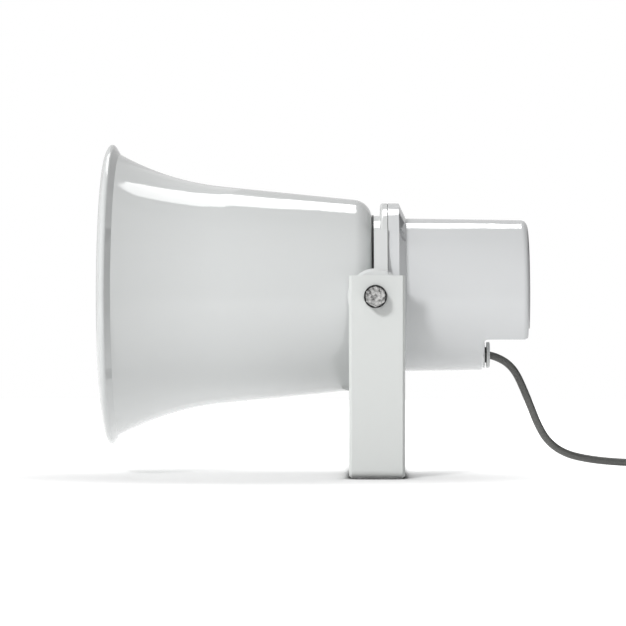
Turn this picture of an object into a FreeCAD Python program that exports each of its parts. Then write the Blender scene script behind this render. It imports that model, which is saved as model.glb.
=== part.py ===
import FreeCAD, Part
import math
import os
import re

import Sketcher

# A folded horn loudspeaker on a U-bracket.
# X runs along the horn with the mouth towards -X, Y across it, Z up.
# The origin is on the floor under the pivot axis, in the underside of the bracket.

Vector = FreeCAD.Vector

# Driving sizes in millimetres and degrees
SIZES = (
    ("pivot_height", 130, "pivot axis above the underside of the bracket"),
    ("fit_gap", 0.1, "radial gap of a located fit"),
    ("run_gap", 0.3, "gap between faces that move past each other"),
    ("mouth_reach", 197.6, "pivot axis to the front of the lip"),
    ("mouth_radius", 110.6, "outside of the lip"),
    ("lip_round", 14, "front rounding of the lip"),
    ("lip_rise", 9.1, "lip's front edge under its crest"),
    ("lip_face", 0.8, "flat ring at the front of the lip"),
    ("crest_round", 2.4, "crest of the lip"),
    ("lip_lean", 59, "slanted back of the lip from the axis"),
    ("lip_height", 7.1, "lip above the end of the flare"),
    ("cone_angle", 5.75, "half angle of the bell's cone"),
    ("cone_reach", 112, "pivot axis to where the cone begins to flare"),
    ("bell_back", 2.3, "pivot axis to the bell's flat back"),
    ("bell_back_radius", 68.8, "cone carried on to the flat back"),
    ("shoulder_radius", 14.3, "rounding of the bell's shoulder"),
    ("bell_wall", 2.8, "wall of the bell"),
    ("reflector_rear", 30, "pivot axis to the open rear of the reflector"),
    ("reflector_radius", 48, "outside of the reflector's open rear"),
    ("reflector_taper", 4.8, "half angle of the reflector's cone"),
    ("reflector_shoulder", 125, "pivot axis to where the reflector's dome begins"),
    ("reflector_wall", 2.2, "wall of the reflector"),
    ("hub_length", 18, "hub that sits on the throat tube"),
    ("hub_wall", 2.2, "wall of the hub"),
    ("vane_thickness", 2.4, "vanes between hub and reflector"),
    ("tube_reach", 128, "pivot axis to the front of the throat tube"),
    ("tube_mouth_radius", 17.5, "bore at the front of the throat tube"),
    ("throat_radius", 11.5, "bore at the driver"),
    ("tube_wall", 2.5, "wall of the throat tube"),
    ("land_length", 22, "round land for the hub"),
    ("land_wall", 3, "wall at the land"),
    ("tube_flange_radius", 36, "flange that clamps the bell"),
    ("tube_flange_thickness", 3, "thickness of that flange"),
    ("spigot_radius", 18, "spigot of the throat tube in the base"),
    ("spigot_length", 9, "spigot behind the flange"),
    ("neck_radius", 58.3, "neck of the base"),
    ("neck_length", 5.9, "neck in front of the ring"),
    ("ring_radius", 67.5, "ring of the base and flange of the case"),
    ("ring_thickness", 5.2, "ring of the base"),
    ("ring_edge", 2.2, "rounded front edge of the ring"),
    ("arm_front", 1.3, "set-back of the arms from the bell"),
    ("arm_rise", 48, "half height of an arm at the ring"),
    ("arm_root", 44, "inner end of an arm, inside the ring"),
    ("arm_shelf", 52, "outer end of an arm's level top"),
    ("boss_radius", 20, "pivot boss"),
    ("boss_chamfer", 2, "edge of the pivot boss"),
    ("boss_thickness", 5.3, "disc of the pivot boss"),
    ("barrel_radius", 10, "barrel behind the disc"),
    ("barrel_length", 1.9, "barrel behind the disc"),
    ("insert_radius", 6, "threaded insert"),
    ("bracket_gap", 78, "axis to the inner face of a bracket leg"),
    ("bracket_thickness", 3, "steel strip"),
    ("bracket_width", 40, "steel strip"),
    ("bracket_offset", 1.2, "strip's middle behind the pivot axis"),
    ("bracket_bend", 6, "outer radius of the bends"),
    ("bracket_top", 15, "leg above the pivot axis"),
    ("bracket_edge", 1.85, "bevelled outer edges of the strip"),
    ("base_hole_radius", 4.5, "fixing holes in the bracket's base"),
    ("base_hole_pitch", 100, "fixing holes apart"),
    ("bolt_radius", 4, "pivot bolt's shank"),
    ("bolt_hole_gap", 0.4, "radial play of the bolt in the leg"),
    ("bolt_flats", 13, "hexagon across flats"),
    ("bolt_head", 5.3, "height of the hexagon"),
    ("bolt_length", 13.5, "shank under the spring washer"),
    ("flat_washer_radius", 8.3, "flat washer"),
    ("flat_washer_thickness", 1.6, "flat washer"),
    ("spring_washer_radius", 7, "spring washer"),
    ("spring_washer_thickness", 2, "spring washer"),
    ("spring_washer_slit", 1.2, "slit of the spring washer"),
    ("bell_screw_pitch", 28, "circle of the bell screws"),
    ("bell_screw_radius", 2, "shank"),
    ("bell_screw_length", 13, "shank under the head"),
    ("driver_screw_pitch", 43, "circle of the driver screws"),
    ("driver_screw_radius", 2, "shank"),
    ("driver_screw_length", 20, "shank under the head"),
    ("tip_room", 0.5, "room beyond the tip of a screw"),
    ("screw_head_radius", 3.4, "heads of the inner screws"),
    ("screw_head_height", 2.4, "heads of the inner screws"),
    ("case_screw_pitch", 62, "circle of the case screws"),
    ("case_screw_radius", 2.5, "shank"),
    ("case_screw_length", 7.6, "shank under the head"),
    ("case_head_radius", 4, "heads of the case screws"),
    ("case_head_height", 3, "heads of the case screws"),
    ("case_head_seat", 3, "case flange under a screw head"),
    ("well_radius", 4.6, "well round a case screw's head"),
    ("screw_recess_radius", 1.2, "driver recess in a screw head"),
    ("screw_recess_depth", 1.3, "driver recess in a screw head"),
    ("gasket_thickness", 0.4, "case gasket"),
    ("gasket_inset", 0.5, "gasket behind the edge of the ring"),
    ("case_flange_thickness", 8, "flange of the rear case"),
    ("case_slant", 5.3, "slanted back of that flange along the axis"),
    ("can_radius", 56.3, "can behind the flange"),
    ("can_back_radius", 55.1, "can at its rear corner"),
    ("can_back", 110.75, "pivot axis to the lower rear face of the can"),
    ("can_corner", 5.1, "rear corner of the can"),
    ("case_wall", 3, "wall of the rear case"),
    ("panel_drop", 23.6, "lower edge of the rear panel under the horn axis"),
    ("panel_height", 0.9, "panel proud of that face"),
    ("notch_wall", 79, "pivot axis to the upright wall of the notch"),
    ("notch_drop", 31.6, "roof of the notch under the horn axis"),
    ("notch_round", 2.2, "inner corner of the notch"),
    ("notch_edge", 2.8, "rear edge of the roof"),
    ("notch_lip", 1.8, "lower edge of the upright wall"),
    ("cover_radius", 47, "driver cover"),
    ("cover_thickness", 8.3, "driver cover"),
    ("surround_radius", 30, "outside of the diaphragm"),
    ("surround_thickness", 0.5, "diaphragm"),
    ("dome_radius", 16.8, "foot of the diaphragm's dome"),
    ("dome_height", 4, "dome"),
    ("stroke", 0.4, "diaphragm's travel each way"),
    ("plug_ring_wall", 1, "ring of the phase plug"),
    ("plug_radius", 7.6, "bullet of the phase plug"),
    ("plug_length", 3.6, "phase plug"),
    ("plug_rib", 1.2, "ribs of the phase plug"),
    ("plate_thickness", 5, "top plate"),
    ("coil_bore", 17.5, "inside of the voice coil"),
    ("coil_former", 0.3, "former of the voice coil"),
    ("coil_winding", 0.5, "winding on the former"),
    ("coil_length", 8, "former behind the diaphragm"),
    ("coil_air", 0.45, "air gap each side of the voice coil"),
    ("magnet_radius", 39, "magnet ring"),
    ("magnet_bore", 21, "magnet ring"),
    ("magnet_thickness", 12, "magnet ring"),
    ("yoke_radius", 37, "back plate"),
    ("yoke_thickness", 5, "back plate"),
    ("core_width", 48, "transformer core across"),
    ("core_length", 40, "transformer core along the axis"),
    ("core_stack", 16, "transformer core, stack"),
    ("core_rise", 10, "transformer above the horn axis"),
    ("limb_width", 16, "centre limb of the core"),
    ("window_width", 8, "window of the core"),
    ("window_length", 24, "window of the core"),
    ("winding_gap", 0.3, "winding in the window"),
    ("winding_build", 7, "winding above and below the stack"),
    ("frame_sheet", 1.2, "sheet of the transformer frame"),
    ("frame_foot", 12, "feet of the transformer frame"),
    ("post_radius", 5, "posts on the case's rear wall"),
    ("post_length", 7.1, "posts on the case's rear wall"),
    ("frame_screw_radius", 1.8, "shank of the frame screws"),
    ("frame_screw_length", 7, "shank of the frame screws"),
    ("block_length", 16, "terminal block along the axis"),
    ("block_width", 28, "terminal block across"),
    ("block_height", 11, "terminal block"),
    ("block_inset", 5, "terminal block behind the notch wall"),
    ("block_pole", 7, "terminals either side of the middle"),
    ("terminal_radius", 2.6, "terminal screws"),
    ("terminal_height", 1.6, "terminal screws above the block"),
    ("gland_drop", 44, "gland under the horn axis"),
    ("gland_radius", 9.4, "flange and cap of the gland"),
    ("gland_flange", 1.6, "flange of the gland"),
    ("gland_thread_radius", 6, "thread of the gland"),
    ("gland_thread_length", 9, "thread of the gland"),
    ("gland_nut", 3, "lock nut of the gland"),
    ("gland_nut_flats", 16, "lock nut across flats"),
    ("seal_radius", 5.7, "rubber seal"),
    ("seal_length", 1.3, "rubber seal"),
    ("cap_length", 2.4, "gland cap"),
    ("cap_edge", 0.6, "rounded edge of the gland cap"),
    ("cable_radius", 2.75, "cable"),
    ("cable_play", 0.35, "cable in the gland"),
    ("tail_length", 14.4, "cable inside the case"),
    ("coil_turn_radius", 30.25, "middle of the coiled length"),
    ("coil_build", 11, "coiled length, height and width"),
    ("coil_edge", 2.7, "rounded edges of the coiled length"),
    ("tie_width", 4, "tie on the coil"),
    ("tie_sheet", 0.9, "tie on the coil"),
    ("end_length", 30, "jacket beyond the coil"),
    ("core_radius", 0.95, "insulated core"),
    ("core_bare", 22, "insulated cores beyond the jacket"),
    ("tip_radius", 0.55, "stripped wire"),
    ("tip_length", 7, "stripped wire"),
)

# Places that follow from the sizes
PLACES = (
    ("slope", "tan(cone_angle)"),
    ("cone_end_radius", "bell_back_radius + (cone_reach - bell_back) * slope"),
    ("lip_share", "lip_round / (lip_round - crest_round)"),
    ("crest_inset", "sqrt((lip_round - crest_round) ^ 2 - (lip_rise - crest_round) ^ 2)"),
    ("crest_x", "-mouth_reach + lip_round - crest_inset"),
    ("crest_start_x", "-mouth_reach + lip_round - crest_inset * lip_share"),
    ("crest_start_r", "mouth_radius - lip_rise + (lip_rise - crest_round) * lip_share"),
    ("crest_end_x", "crest_x + crest_round * sin(lip_lean)"),
    ("crest_end_r", "mouth_radius - crest_round * (1 - cos(lip_lean))"),
    ("flare_end_radius", "mouth_radius - lip_height"),
    ("flare_reach", "-crest_end_x - (crest_end_r - flare_end_radius) / tan(lip_lean)"),
    ("flare_rise", "(flare_end_radius - cone_end_radius) / (flare_reach - cone_reach)"),
    ("flare_share", "1 + flare_rise ^ 2"),
    ("double_sine", "2 * flare_rise / flare_share"),
    ("double_cosine", "(1 - flare_rise ^ 2) / flare_share"),
    ("flare_sine", "double_sine * cos(cone_angle) - double_cosine * sin(cone_angle)"),
    ("flare_cosine", "double_cosine * cos(cone_angle) + double_sine * sin(cone_angle)"),
    ("flare_radius", "(flare_reach - cone_reach) / (flare_sine - sin(cone_angle))"),
    ("shoulder_x", "-bell_back - shoulder_radius"),
    ("shoulder_r", "bell_back_radius + shoulder_radius * (slope - 1 / cos(cone_angle))"),
    ("bell_floor", "-bell_back - bell_wall"),
    ("taper", "tan(reflector_taper)"),
    ("dome_foot_radius", "reflector_radius - (reflector_shoulder - reflector_rear) * taper"),
    ("dome_centre", "dome_foot_radius * taper - reflector_shoulder"),
    ("reflector_dome", "dome_foot_radius / cos(reflector_taper)"),
    ("land_radius", "tube_mouth_radius + land_wall"),
    ("hub_bore", "land_radius + fit_gap"),
    ("hub_front", "-tube_reach + (land_length - hub_length) / 2"),
    ("hub_back", "hub_front + hub_length"),
    ("spigot_end", "bell_floor + spigot_length"),
    ("throat_taper", "(tube_mouth_radius - throat_radius) / (tube_reach + spigot_end)"),
    ("ring_front", "neck_length - bell_back"),
    ("ring_back", "ring_front + ring_thickness"),
    ("boss_face", "bracket_gap - run_gap"),
    ("boss_inner", "boss_face - boss_thickness"),
    ("barrel_inner", "boss_inner - barrel_length"),
    ("bracket_out", "bracket_gap + bracket_thickness"),
    ("flat_washer_out", "bracket_out + flat_washer_thickness"),
    ("spring_washer_out", "flat_washer_out + spring_washer_thickness"),
    ("bolt_hole_radius", "bolt_radius + bolt_hole_gap"),
    ("case_front", "ring_back + gasket_thickness"),
    ("flange_back", "case_front + case_flange_thickness"),
    ("can_front", "flange_back + case_slant"),
    ("can_inside", "can_back - case_wall"),
    ("panel_back", "can_back + panel_height"),
    ("case_head_x", "case_front + case_head_seat"),
    ("cover_back", "ring_back + cover_thickness"),
    ("surround_room", "stroke + run_gap"),
    ("surround_back", "cover_back - surround_room"),
    ("surround_front", "surround_back - surround_thickness"),
    ("cavity_front", "surround_front - surround_room"),
    ("dome_sphere", "(dome_radius ^ 2 + dome_height ^ 2) / (2 * dome_height)"),
    ("dome_middle", "surround_front - dome_height + dome_sphere"),
    ("dome_room", "surround_front - dome_height - surround_room"),
    ("dome_well_radius", "coil_bore + coil_former + coil_winding + coil_air"),
    ("plug_back", "dome_room"),
    ("plug_front", "plug_back - plug_length"),
    ("plate_back", "cover_back + plate_thickness"),
    ("pole_radius", "coil_bore - coil_air"),
    ("magnet_back", "plate_back + magnet_thickness"),
    ("yoke_back", "magnet_back + yoke_thickness"),
    ("post_face", "can_inside - post_length"),
    ("core_back", "post_face"),
    ("core_front", "core_back - core_length"),
    ("window_front", "core_front + (core_length - window_length) / 2"),
    ("window_back", "window_front + window_length"),
    ("frame_half", "core_width / 2 + frame_sheet"),
    ("foot_middle", "frame_half + frame_foot / 2"),
    ("notch_inside", "notch_wall - case_wall"),
    ("roof_inside", "-notch_drop + case_wall"),
    ("block_front", "notch_wall + block_inset"),
    ("gland_flange_out", "notch_wall + gland_flange"),
    ("seal_out", "gland_flange_out + seal_length"),
    ("cap_out", "seal_out + cap_length"),
    ("cable_bore", "cable_radius + cable_play"),
)

# Cable from inside the gland to its coil on the floor, relative to the floor under the pivot
CABLE_ROUTE = (
    (75.2, 0.0, 86.0),
    (85.3, 0.0, 86.0),
    (94.9, 0.4, 81.8),
    (100.6, 1.1, 76.9),
    (104.6, 1.8, 71.2),
    (108.2, 2.8, 63.6),
    (111.7, 4.2, 55.4),
    (115.3, 6.4, 46.8),
    (120.2, 10.6, 34.5),
    (127.8, 16.8, 21.4),
    (141.0, 26.0, 11.8),
    (159.0, 36.5, 7.0),
    (181.0, 46.0, 4.2),
    (207.0, 53.5, 2.95),
    (228.0, 58.0, 2.75),
)
ARC_SHARE = 0.45
COIL_LEAD_IN = 20.0
CABLE_END_TURN = 65.0
TIE_TURN = 175.0

SCREW_COUNT = 4
VANE_COUNT = 3
DIAGONAL = 45.0

document = FreeCAD.newDocument("horn_speaker")
PREFIXES = {name: f"Size.{name}" for name, _, _ in SIZES}
PREFIXES.update({name: f"Place.{name}" for name, _ in PLACES})
sub_parts = []


def bound(text):
    """An expression in which each size or place is written with its sheet's name."""
    return re.sub(r"[a-z_]+", lambda word: PREFIXES.get(word.group(0), word.group(0)), text)


def fill_sheet(name, rows):
    """A spreadsheet with one aliased cell for each row of (alias, content, meaning)."""
    sheet = document.addObject("Spreadsheet::Sheet", name)
    for number, (alias, content, meaning) in enumerate(rows, start=1):
        sheet.set(f"A{number}", alias)
        sheet.set(f"B{number}", str(content))
        sheet.set(f"C{number}", meaning)
        sheet.setAlias(f"B{number}", alias)
    document.recompute()
    return sheet


size_sheet = fill_sheet("Size", SIZES)
fill_sheet("Place", [(name, "=" + bound(formula), "") for name, formula in PLACES])


def value(text):
    """The number that an expression gives."""
    return float(size_sheet.evalExpression(bound(text)))


def origin_feature(body, role):
    """A plane or axis of a body's own origin."""
    return next(item for item in body.Origin.OriginFeatures if item.Role == role)


def new_body(label, lean=0.0):
    """A body on the horn axis, turned about that axis by an angle in degrees."""
    body = document.addObject("PartDesign::Body", label)
    body.Label = label
    body.Placement = FreeCAD.Placement(Vector(), FreeCAD.Rotation(Vector(1, 0, 0), lean))
    body.setExpression("Placement.Base.z", bound("pivot_height"))
    return body


def new_sketch(body, name, role, offset=None):
    """A sketch on one of the body's origin planes, moved along the plane's normal."""
    sketch = body.newObject("Sketcher::SketchObject", name)
    sketch.AttachmentSupport = [(origin_feature(body, role), "")]
    sketch.MapMode = "FlatFace"
    if offset is not None:
        sketch.setExpression("AttachmentOffset.Base.z", bound(offset))
    return sketch


def bind_datum(sketch, constraint, text):
    """Adds a dimension to a sketch and binds it to an expression."""
    number = sketch.addConstraint(constraint)
    sketch.setExpression(f"Constraints[{number}]", bound(text))


def pin_point(sketch, geometry, end, across, up):
    """Places a point of a sketch by two expressions, on an axis where one is nought."""
    for kind, axis, text in (("DistanceX", -2, across), ("DistanceY", -1, up)):
        number = value(text)
        if abs(number) < 1e-9:
            sketch.addConstraint(Sketcher.Constraint("PointOnObject", geometry, end, axis))
        else:
            bind_datum(sketch, Sketcher.Constraint(kind, -1, 1, geometry, end, number), text)


def arc_between(start, finish, radius, side):
    """The short arc between two points whose centre is on the left (side 1) or right (side -1)."""
    chord = finish - start
    rise = math.sqrt(max(radius**2 - chord.Length**2 / 4, 0.0))
    left = Vector(-chord.y, chord.x, 0).normalize()
    centre = (start + finish) / 2 + left * rise * side
    first = start - centre
    last = finish - centre
    middle = centre + (first + last).normalize() * radius
    return Part.Arc(start, middle, finish)


def draw_outline(sketch, corners):
    """A closed outline through corners (across, up) or, where an arc follows, (across, up, radius, side)."""
    points = [Vector(value(corner[0]), value(corner[1]), 0) for corner in corners]
    first = sketch.GeometryCount
    ends = []
    for index, corner in enumerate(corners):
        start = points[index]
        finish = points[(index + 1) % len(points)]
        if len(corner) == 2:
            sketch.addGeometry(Part.LineSegment(start, finish), False)
            ends.append((1, 2))
        else:
            arc = arc_between(start, finish, value(corner[2]), corner[3])
            sketch.addGeometry(arc, False)
            ends.append((1, 2) if corner[3] > 0 else (2, 1))
    for index, corner in enumerate(corners):
        following = (index + 1) % len(corners)
        edge = first + index
        joint = ("Coincident", edge, ends[index][1], first + following, ends[following][0])
        sketch.addConstraint(Sketcher.Constraint(*joint))
        pin_point(sketch, edge, ends[index][0], corner[0], corner[1])
        if len(corner) > 2:
            bind_datum(sketch, Sketcher.Constraint("Radius", edge, value(corner[2])), corner[2])


def draw_circle(sketch, across, up, radius):
    """A circle placed and sized by expressions."""
    circle = Part.Circle(Vector(value(across), value(up), 0), Vector(0, 0, 1), value(radius))
    number = sketch.addGeometry(circle, False)
    pin_point(sketch, number, 3, across, up)
    bind_datum(sketch, Sketcher.Constraint("Radius", number, value(radius)), radius)


def draw_axis(sketch, start, finish):
    """A construction line that a profile turns about."""
    points = [Vector(value(across), value(up), 0) for across, up in (start, finish)]
    number = sketch.addGeometry(Part.LineSegment(*points), True)
    pin_point(sketch, number, 1, *start)
    pin_point(sketch, number, 2, *finish)


def rectangle(left, right, low, high):
    """Corners of a rectangle."""
    return [(left, low), (right, low), (right, high), (left, high)]


def on_circle(pitch, count, first=0.0):
    """Places spaced evenly on a circle, as expressions."""
    angles = [first + 360.0 * index / count for index in range(count)]
    return [(f"({pitch}) * cos({angle})", f"({pitch}) * sin({angle})") for angle in angles]


def settle(body, feature, removes):
    """Recomputes a new feature and confirms that it adds or removes material."""
    before = body.Shape.Volume if not body.Shape.isNull() else 0.0
    body.Tip = feature
    document.recompute()
    change = body.Shape.Volume - before
    if change == 0 or (change < 0) != removes:
        raise RuntimeError(f"{feature.Label} changes the volume of {body.Label} by {change}")
    return feature


def turned(body, name, corners, role="XZ_Plane", axis="H_Axis", removes=False, about=None):
    """A profile turned right round an axis of its sketch, added or cut away."""
    sketch = new_sketch(body, f"{name}_profile", role)
    draw_outline(sketch, corners)
    if about is not None:
        draw_axis(sketch, *about)
        axis = "Axis0"
    kind = "PartDesign::Groove" if removes else "PartDesign::Revolution"
    feature = body.newObject(kind, name)
    feature.Profile = sketch
    feature.ReferenceAxis = (sketch, [axis])
    feature.Angle = 360
    return settle(body, feature, removes)


def raised(body, name, draw, role, start, length, both_ways=False):
    """What draw puts in a sketch, raised from a start along the plane's normal."""
    sketch = new_sketch(body, f"{name}_profile", role, start)
    draw(sketch)
    feature = body.newObject("PartDesign::Pad", name)
    feature.Profile = sketch
    feature.setExpression("Length", bound(length))
    feature.Midplane = both_ways
    return settle(body, feature, False)


def sunk(body, name, draw, role, start, length, both_ways=False):
    """What draw puts in a sketch, cut from a start against the plane's normal."""
    sketch = new_sketch(body, f"{name}_profile", role, start)
    draw(sketch)
    feature = body.newObject("PartDesign::Pocket", name)
    feature.Profile = sketch
    feature.setExpression("Length", bound(length))
    feature.Midplane = both_ways
    return settle(body, feature, True)


def bored(body, name, places, radius, front, back):
    """Round holes along X between two planes."""

    def draw(sketch):
        for across, up in places:
            draw_circle(sketch, across, up, radius)

    return sunk(body, name, draw, "YZ_Plane", back, f"{back} - ({front})")


def edged(body, name, chosen, setting, size):
    """A fillet (setting Radius) or bevel (setting Size) on the edges whose boxes are chosen."""
    latest = body.Tip
    boxes = [edge.BoundBox for edge in latest.Shape.Edges]
    edges = [f"Edge{number}" for number, box in enumerate(boxes, start=1) if chosen(box)]
    kind = "PartDesign::Fillet" if setting == "Radius" else "PartDesign::Chamfer"
    feature = body.newObject(kind, name)
    feature.Base = (latest, edges)
    feature.setExpression(setting, bound(size))
    return settle(body, feature, True)


def patterned(body, name, originals, count):
    """Features repeated round the horn axis."""
    feature = body.newObject("PartDesign::PolarPattern", name)
    feature.Originals = originals
    feature.Axis = (origin_feature(body, "X_Axis"), [""])
    feature.Angle = 360
    feature.Occurrences = count
    body.Tip = feature
    document.recompute()
    return feature


def mirrored(body, name, originals, role="XZ_Plane"):
    """Features repeated on the other side of a plane."""
    feature = body.newObject("PartDesign::Mirrored", name)
    feature.Originals = originals
    feature.MirrorPlane = (origin_feature(body, role), [""])
    body.Tip = feature
    document.recompute()
    return feature


def keep(piece):
    """Adds a finished object to the sub-parts that are written out."""
    sub_parts.append(piece)
    return piece


def make_horn_bell():
    """The bell: lip, flare, cone, rounded shoulder and flat back, one moulded wall."""
    inner_shoulder = "shoulder_radius - bell_wall"
    corners = [
        ("-mouth_reach", "mouth_radius - lip_rise - lip_face"),
        ("-mouth_reach", "mouth_radius - lip_rise", "lip_round", -1),
        ("crest_start_x", "crest_start_r", "crest_round", -1),
        ("crest_end_x", "crest_end_r"),
        ("-flare_reach", "flare_end_radius", "flare_radius", 1),
        ("-cone_reach", "cone_end_radius"),
        (
            "shoulder_x + shoulder_radius * sin(cone_angle)",
            "shoulder_r + shoulder_radius * cos(cone_angle)",
            "shoulder_radius",
            -1,
        ),
        ("-bell_back", "shoulder_r"),
        ("-bell_back", "spigot_radius + fit_gap"),
        ("bell_floor", "spigot_radius + fit_gap"),
        ("bell_floor", "shoulder_r", inner_shoulder, 1),
        (
            f"shoulder_x + ({inner_shoulder}) * sin(cone_angle)",
            f"shoulder_r + ({inner_shoulder}) * cos(cone_angle)",
        ),
        (
            "-cone_reach - bell_wall * sin(cone_angle)",
            "cone_end_radius - bell_wall * cos(cone_angle)",
            "flare_radius + bell_wall",
            -1,
        ),
        ("-flare_reach - bell_wall * flare_sine", "flare_end_radius - bell_wall * flare_cosine"),
    ]
    body = keep(new_body("horn_bell"))
    turned(body, "bell_wall_turn", corners)
    places = on_circle("bell_screw_pitch", SCREW_COUNT, DIAGONAL)
    bored(body, "bell_screw_holes", places, "bell_screw_radius + fit_gap", "bell_floor - 1", "-bell_back + 1")


def make_reflector():
    """The inner bullet: a domed cup, open to the rear, on three vanes and a hub."""
    lean = "reflector_wall * sin(reflector_taper)"
    drop = "reflector_wall * cos(reflector_taper)"
    corners = [
        ("-reflector_rear", "reflector_radius"),
        ("-reflector_rear", "reflector_radius - reflector_wall / cos(reflector_taper)"),
        (
            f"-reflector_shoulder + {lean}",
            f"dome_foot_radius - {drop}",
            "reflector_dome - reflector_wall",
            1,
        ),
        ("dome_centre - reflector_dome + reflector_wall", "0"),
        ("dome_centre - reflector_dome", "0", "reflector_dome", -1),
        ("-reflector_shoulder", "dome_foot_radius"),
    ]
    body = keep(new_body("reflector"))
    turned(body, "reflector_wall_turn", corners)

    def wall_middle(place):
        """Radius of the middle of the reflector's wall at a place along the axis."""
        return f"reflector_radius + (-reflector_rear - ({place})) * -taper - reflector_wall / 2"

    def draw_vane(sketch):
        draw_outline(
            sketch,
            [
                ("hub_front", "hub_bore + hub_wall / 2"),
                ("hub_back", "hub_bore + hub_wall / 2"),
                ("hub_back", wall_middle("hub_back")),
                ("hub_front", wall_middle("hub_front")),
            ],
        )

    vane = raised(body, "vane", draw_vane, "XZ_Plane", "0", "vane_thickness", both_ways=True)
    patterned(body, "vanes", [vane], VANE_COUNT)
    turned(body, "hub", rectangle("hub_front", "hub_back", "hub_bore", "hub_bore + hub_wall"))


def make_throat_tube():
    """The tapered tube from the driver into the reflector, with its clamping flange and spigot."""
    flange_front = "bell_floor - tube_flange_thickness"
    land_back = "-tube_reach + land_length"

    def outside(place):
        """Radius of the tube's outside at a place along the axis."""
        return f"throat_radius + tube_wall + (spigot_end - ({place})) * throat_taper"

    corners = [
        ("-tube_reach", "tube_mouth_radius"),
        ("-tube_reach", "land_radius"),
        (land_back, "land_radius"),
        (land_back, outside(land_back)),
        (flange_front, outside(flange_front)),
        (flange_front, "tube_flange_radius"),
        ("bell_floor", "tube_flange_radius"),
        ("bell_floor", "spigot_radius"),
        ("spigot_end", "spigot_radius"),
        ("spigot_end", "throat_radius"),
    ]
    body = keep(new_body("throat_tube"))
    turned(body, "tube_turn", corners)
    places = on_circle("bell_screw_pitch", SCREW_COUNT, DIAGONAL)
    radius = "bell_screw_radius + fit_gap"
    bored(body, "tube_screw_holes", places, radius, f"{flange_front} - 1", "bell_floor + 1")


def make_horn_base():
    """The moulded base: neck, ring, two gusseted arms and the pivot bosses."""
    corners = [
        ("-bell_back", "spigot_radius + fit_gap"),
        ("-bell_back", "neck_radius"),
        ("ring_front", "neck_radius"),
        ("ring_front", "ring_radius - ring_edge", "ring_edge", -1),
        ("ring_front + ring_edge", "ring_radius"),
        ("ring_back", "ring_radius"),
        ("ring_back", "spigot_radius + fit_gap"),
    ]
    body = keep(new_body("horn_base"))
    turned(body, "base_turn", corners)

    def draw_arm(sketch):
        low = "boss_radius - boss_chamfer"
        upper = [("arm_root", "arm_rise"), ("arm_shelf", "arm_rise"), ("boss_inner", low), ("boss_face", low)]
        lower = [(across, f"-({up})") for across, up in reversed(upper)]
        draw_outline(sketch, upper + lower)

    arm_x = "arm_front - bell_back"
    arm = raised(body, "arm", draw_arm, "YZ_Plane", arm_x, f"ring_back - ({arm_x})")
    boss = [
        ("0", "barrel_inner"),
        ("barrel_radius", "barrel_inner"),
        ("barrel_radius", "boss_inner"),
        ("boss_radius", "boss_inner"),
        ("boss_radius", "boss_face - boss_chamfer"),
        ("boss_radius - boss_chamfer", "boss_face"),
        ("0", "boss_face"),
    ]
    boss_turn = turned(body, "pivot_boss", boss, "XY_Plane", "V_Axis")
    room = rectangle("0", "insert_radius + fit_gap", "barrel_inner - 1", "boss_face + 1")
    seat = turned(body, "insert_seat", room, "XY_Plane", "V_Axis", removes=True)
    mirrored(body, "other_side", [arm, boss_turn, seat])
    diagonal = on_circle("bell_screw_pitch", SCREW_COUNT, DIAGONAL)
    bell_end = "bell_floor - tube_flange_thickness + bell_screw_length + tip_room"
    bored(body, "bell_screw_seats", diagonal, "bell_screw_radius + fit_gap", "-bell_back - 1", bell_end)
    square = on_circle("driver_screw_pitch", SCREW_COUNT)
    driver_end = "plate_back - driver_screw_length - tip_room"
    bored(body, "driver_screw_seats", square, "driver_screw_radius + fit_gap", driver_end, "ring_back + 1")
    outer = on_circle("case_screw_pitch", SCREW_COUNT, DIAGONAL)
    bored(body, "case_screw_seats", outer, "case_screw_radius + fit_gap", "ring_front - 1", "ring_back + 1")


def make_inserts():
    """The two threaded inserts in the pivot bosses."""
    body = keep(new_body("pivot_inserts"))
    sleeve = rectangle("bolt_radius + fit_gap", "insert_radius", "barrel_inner", "boss_face")
    mirrored(body, "both_inserts", [turned(body, "insert", sleeve, "XY_Plane", "V_Axis")])


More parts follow.
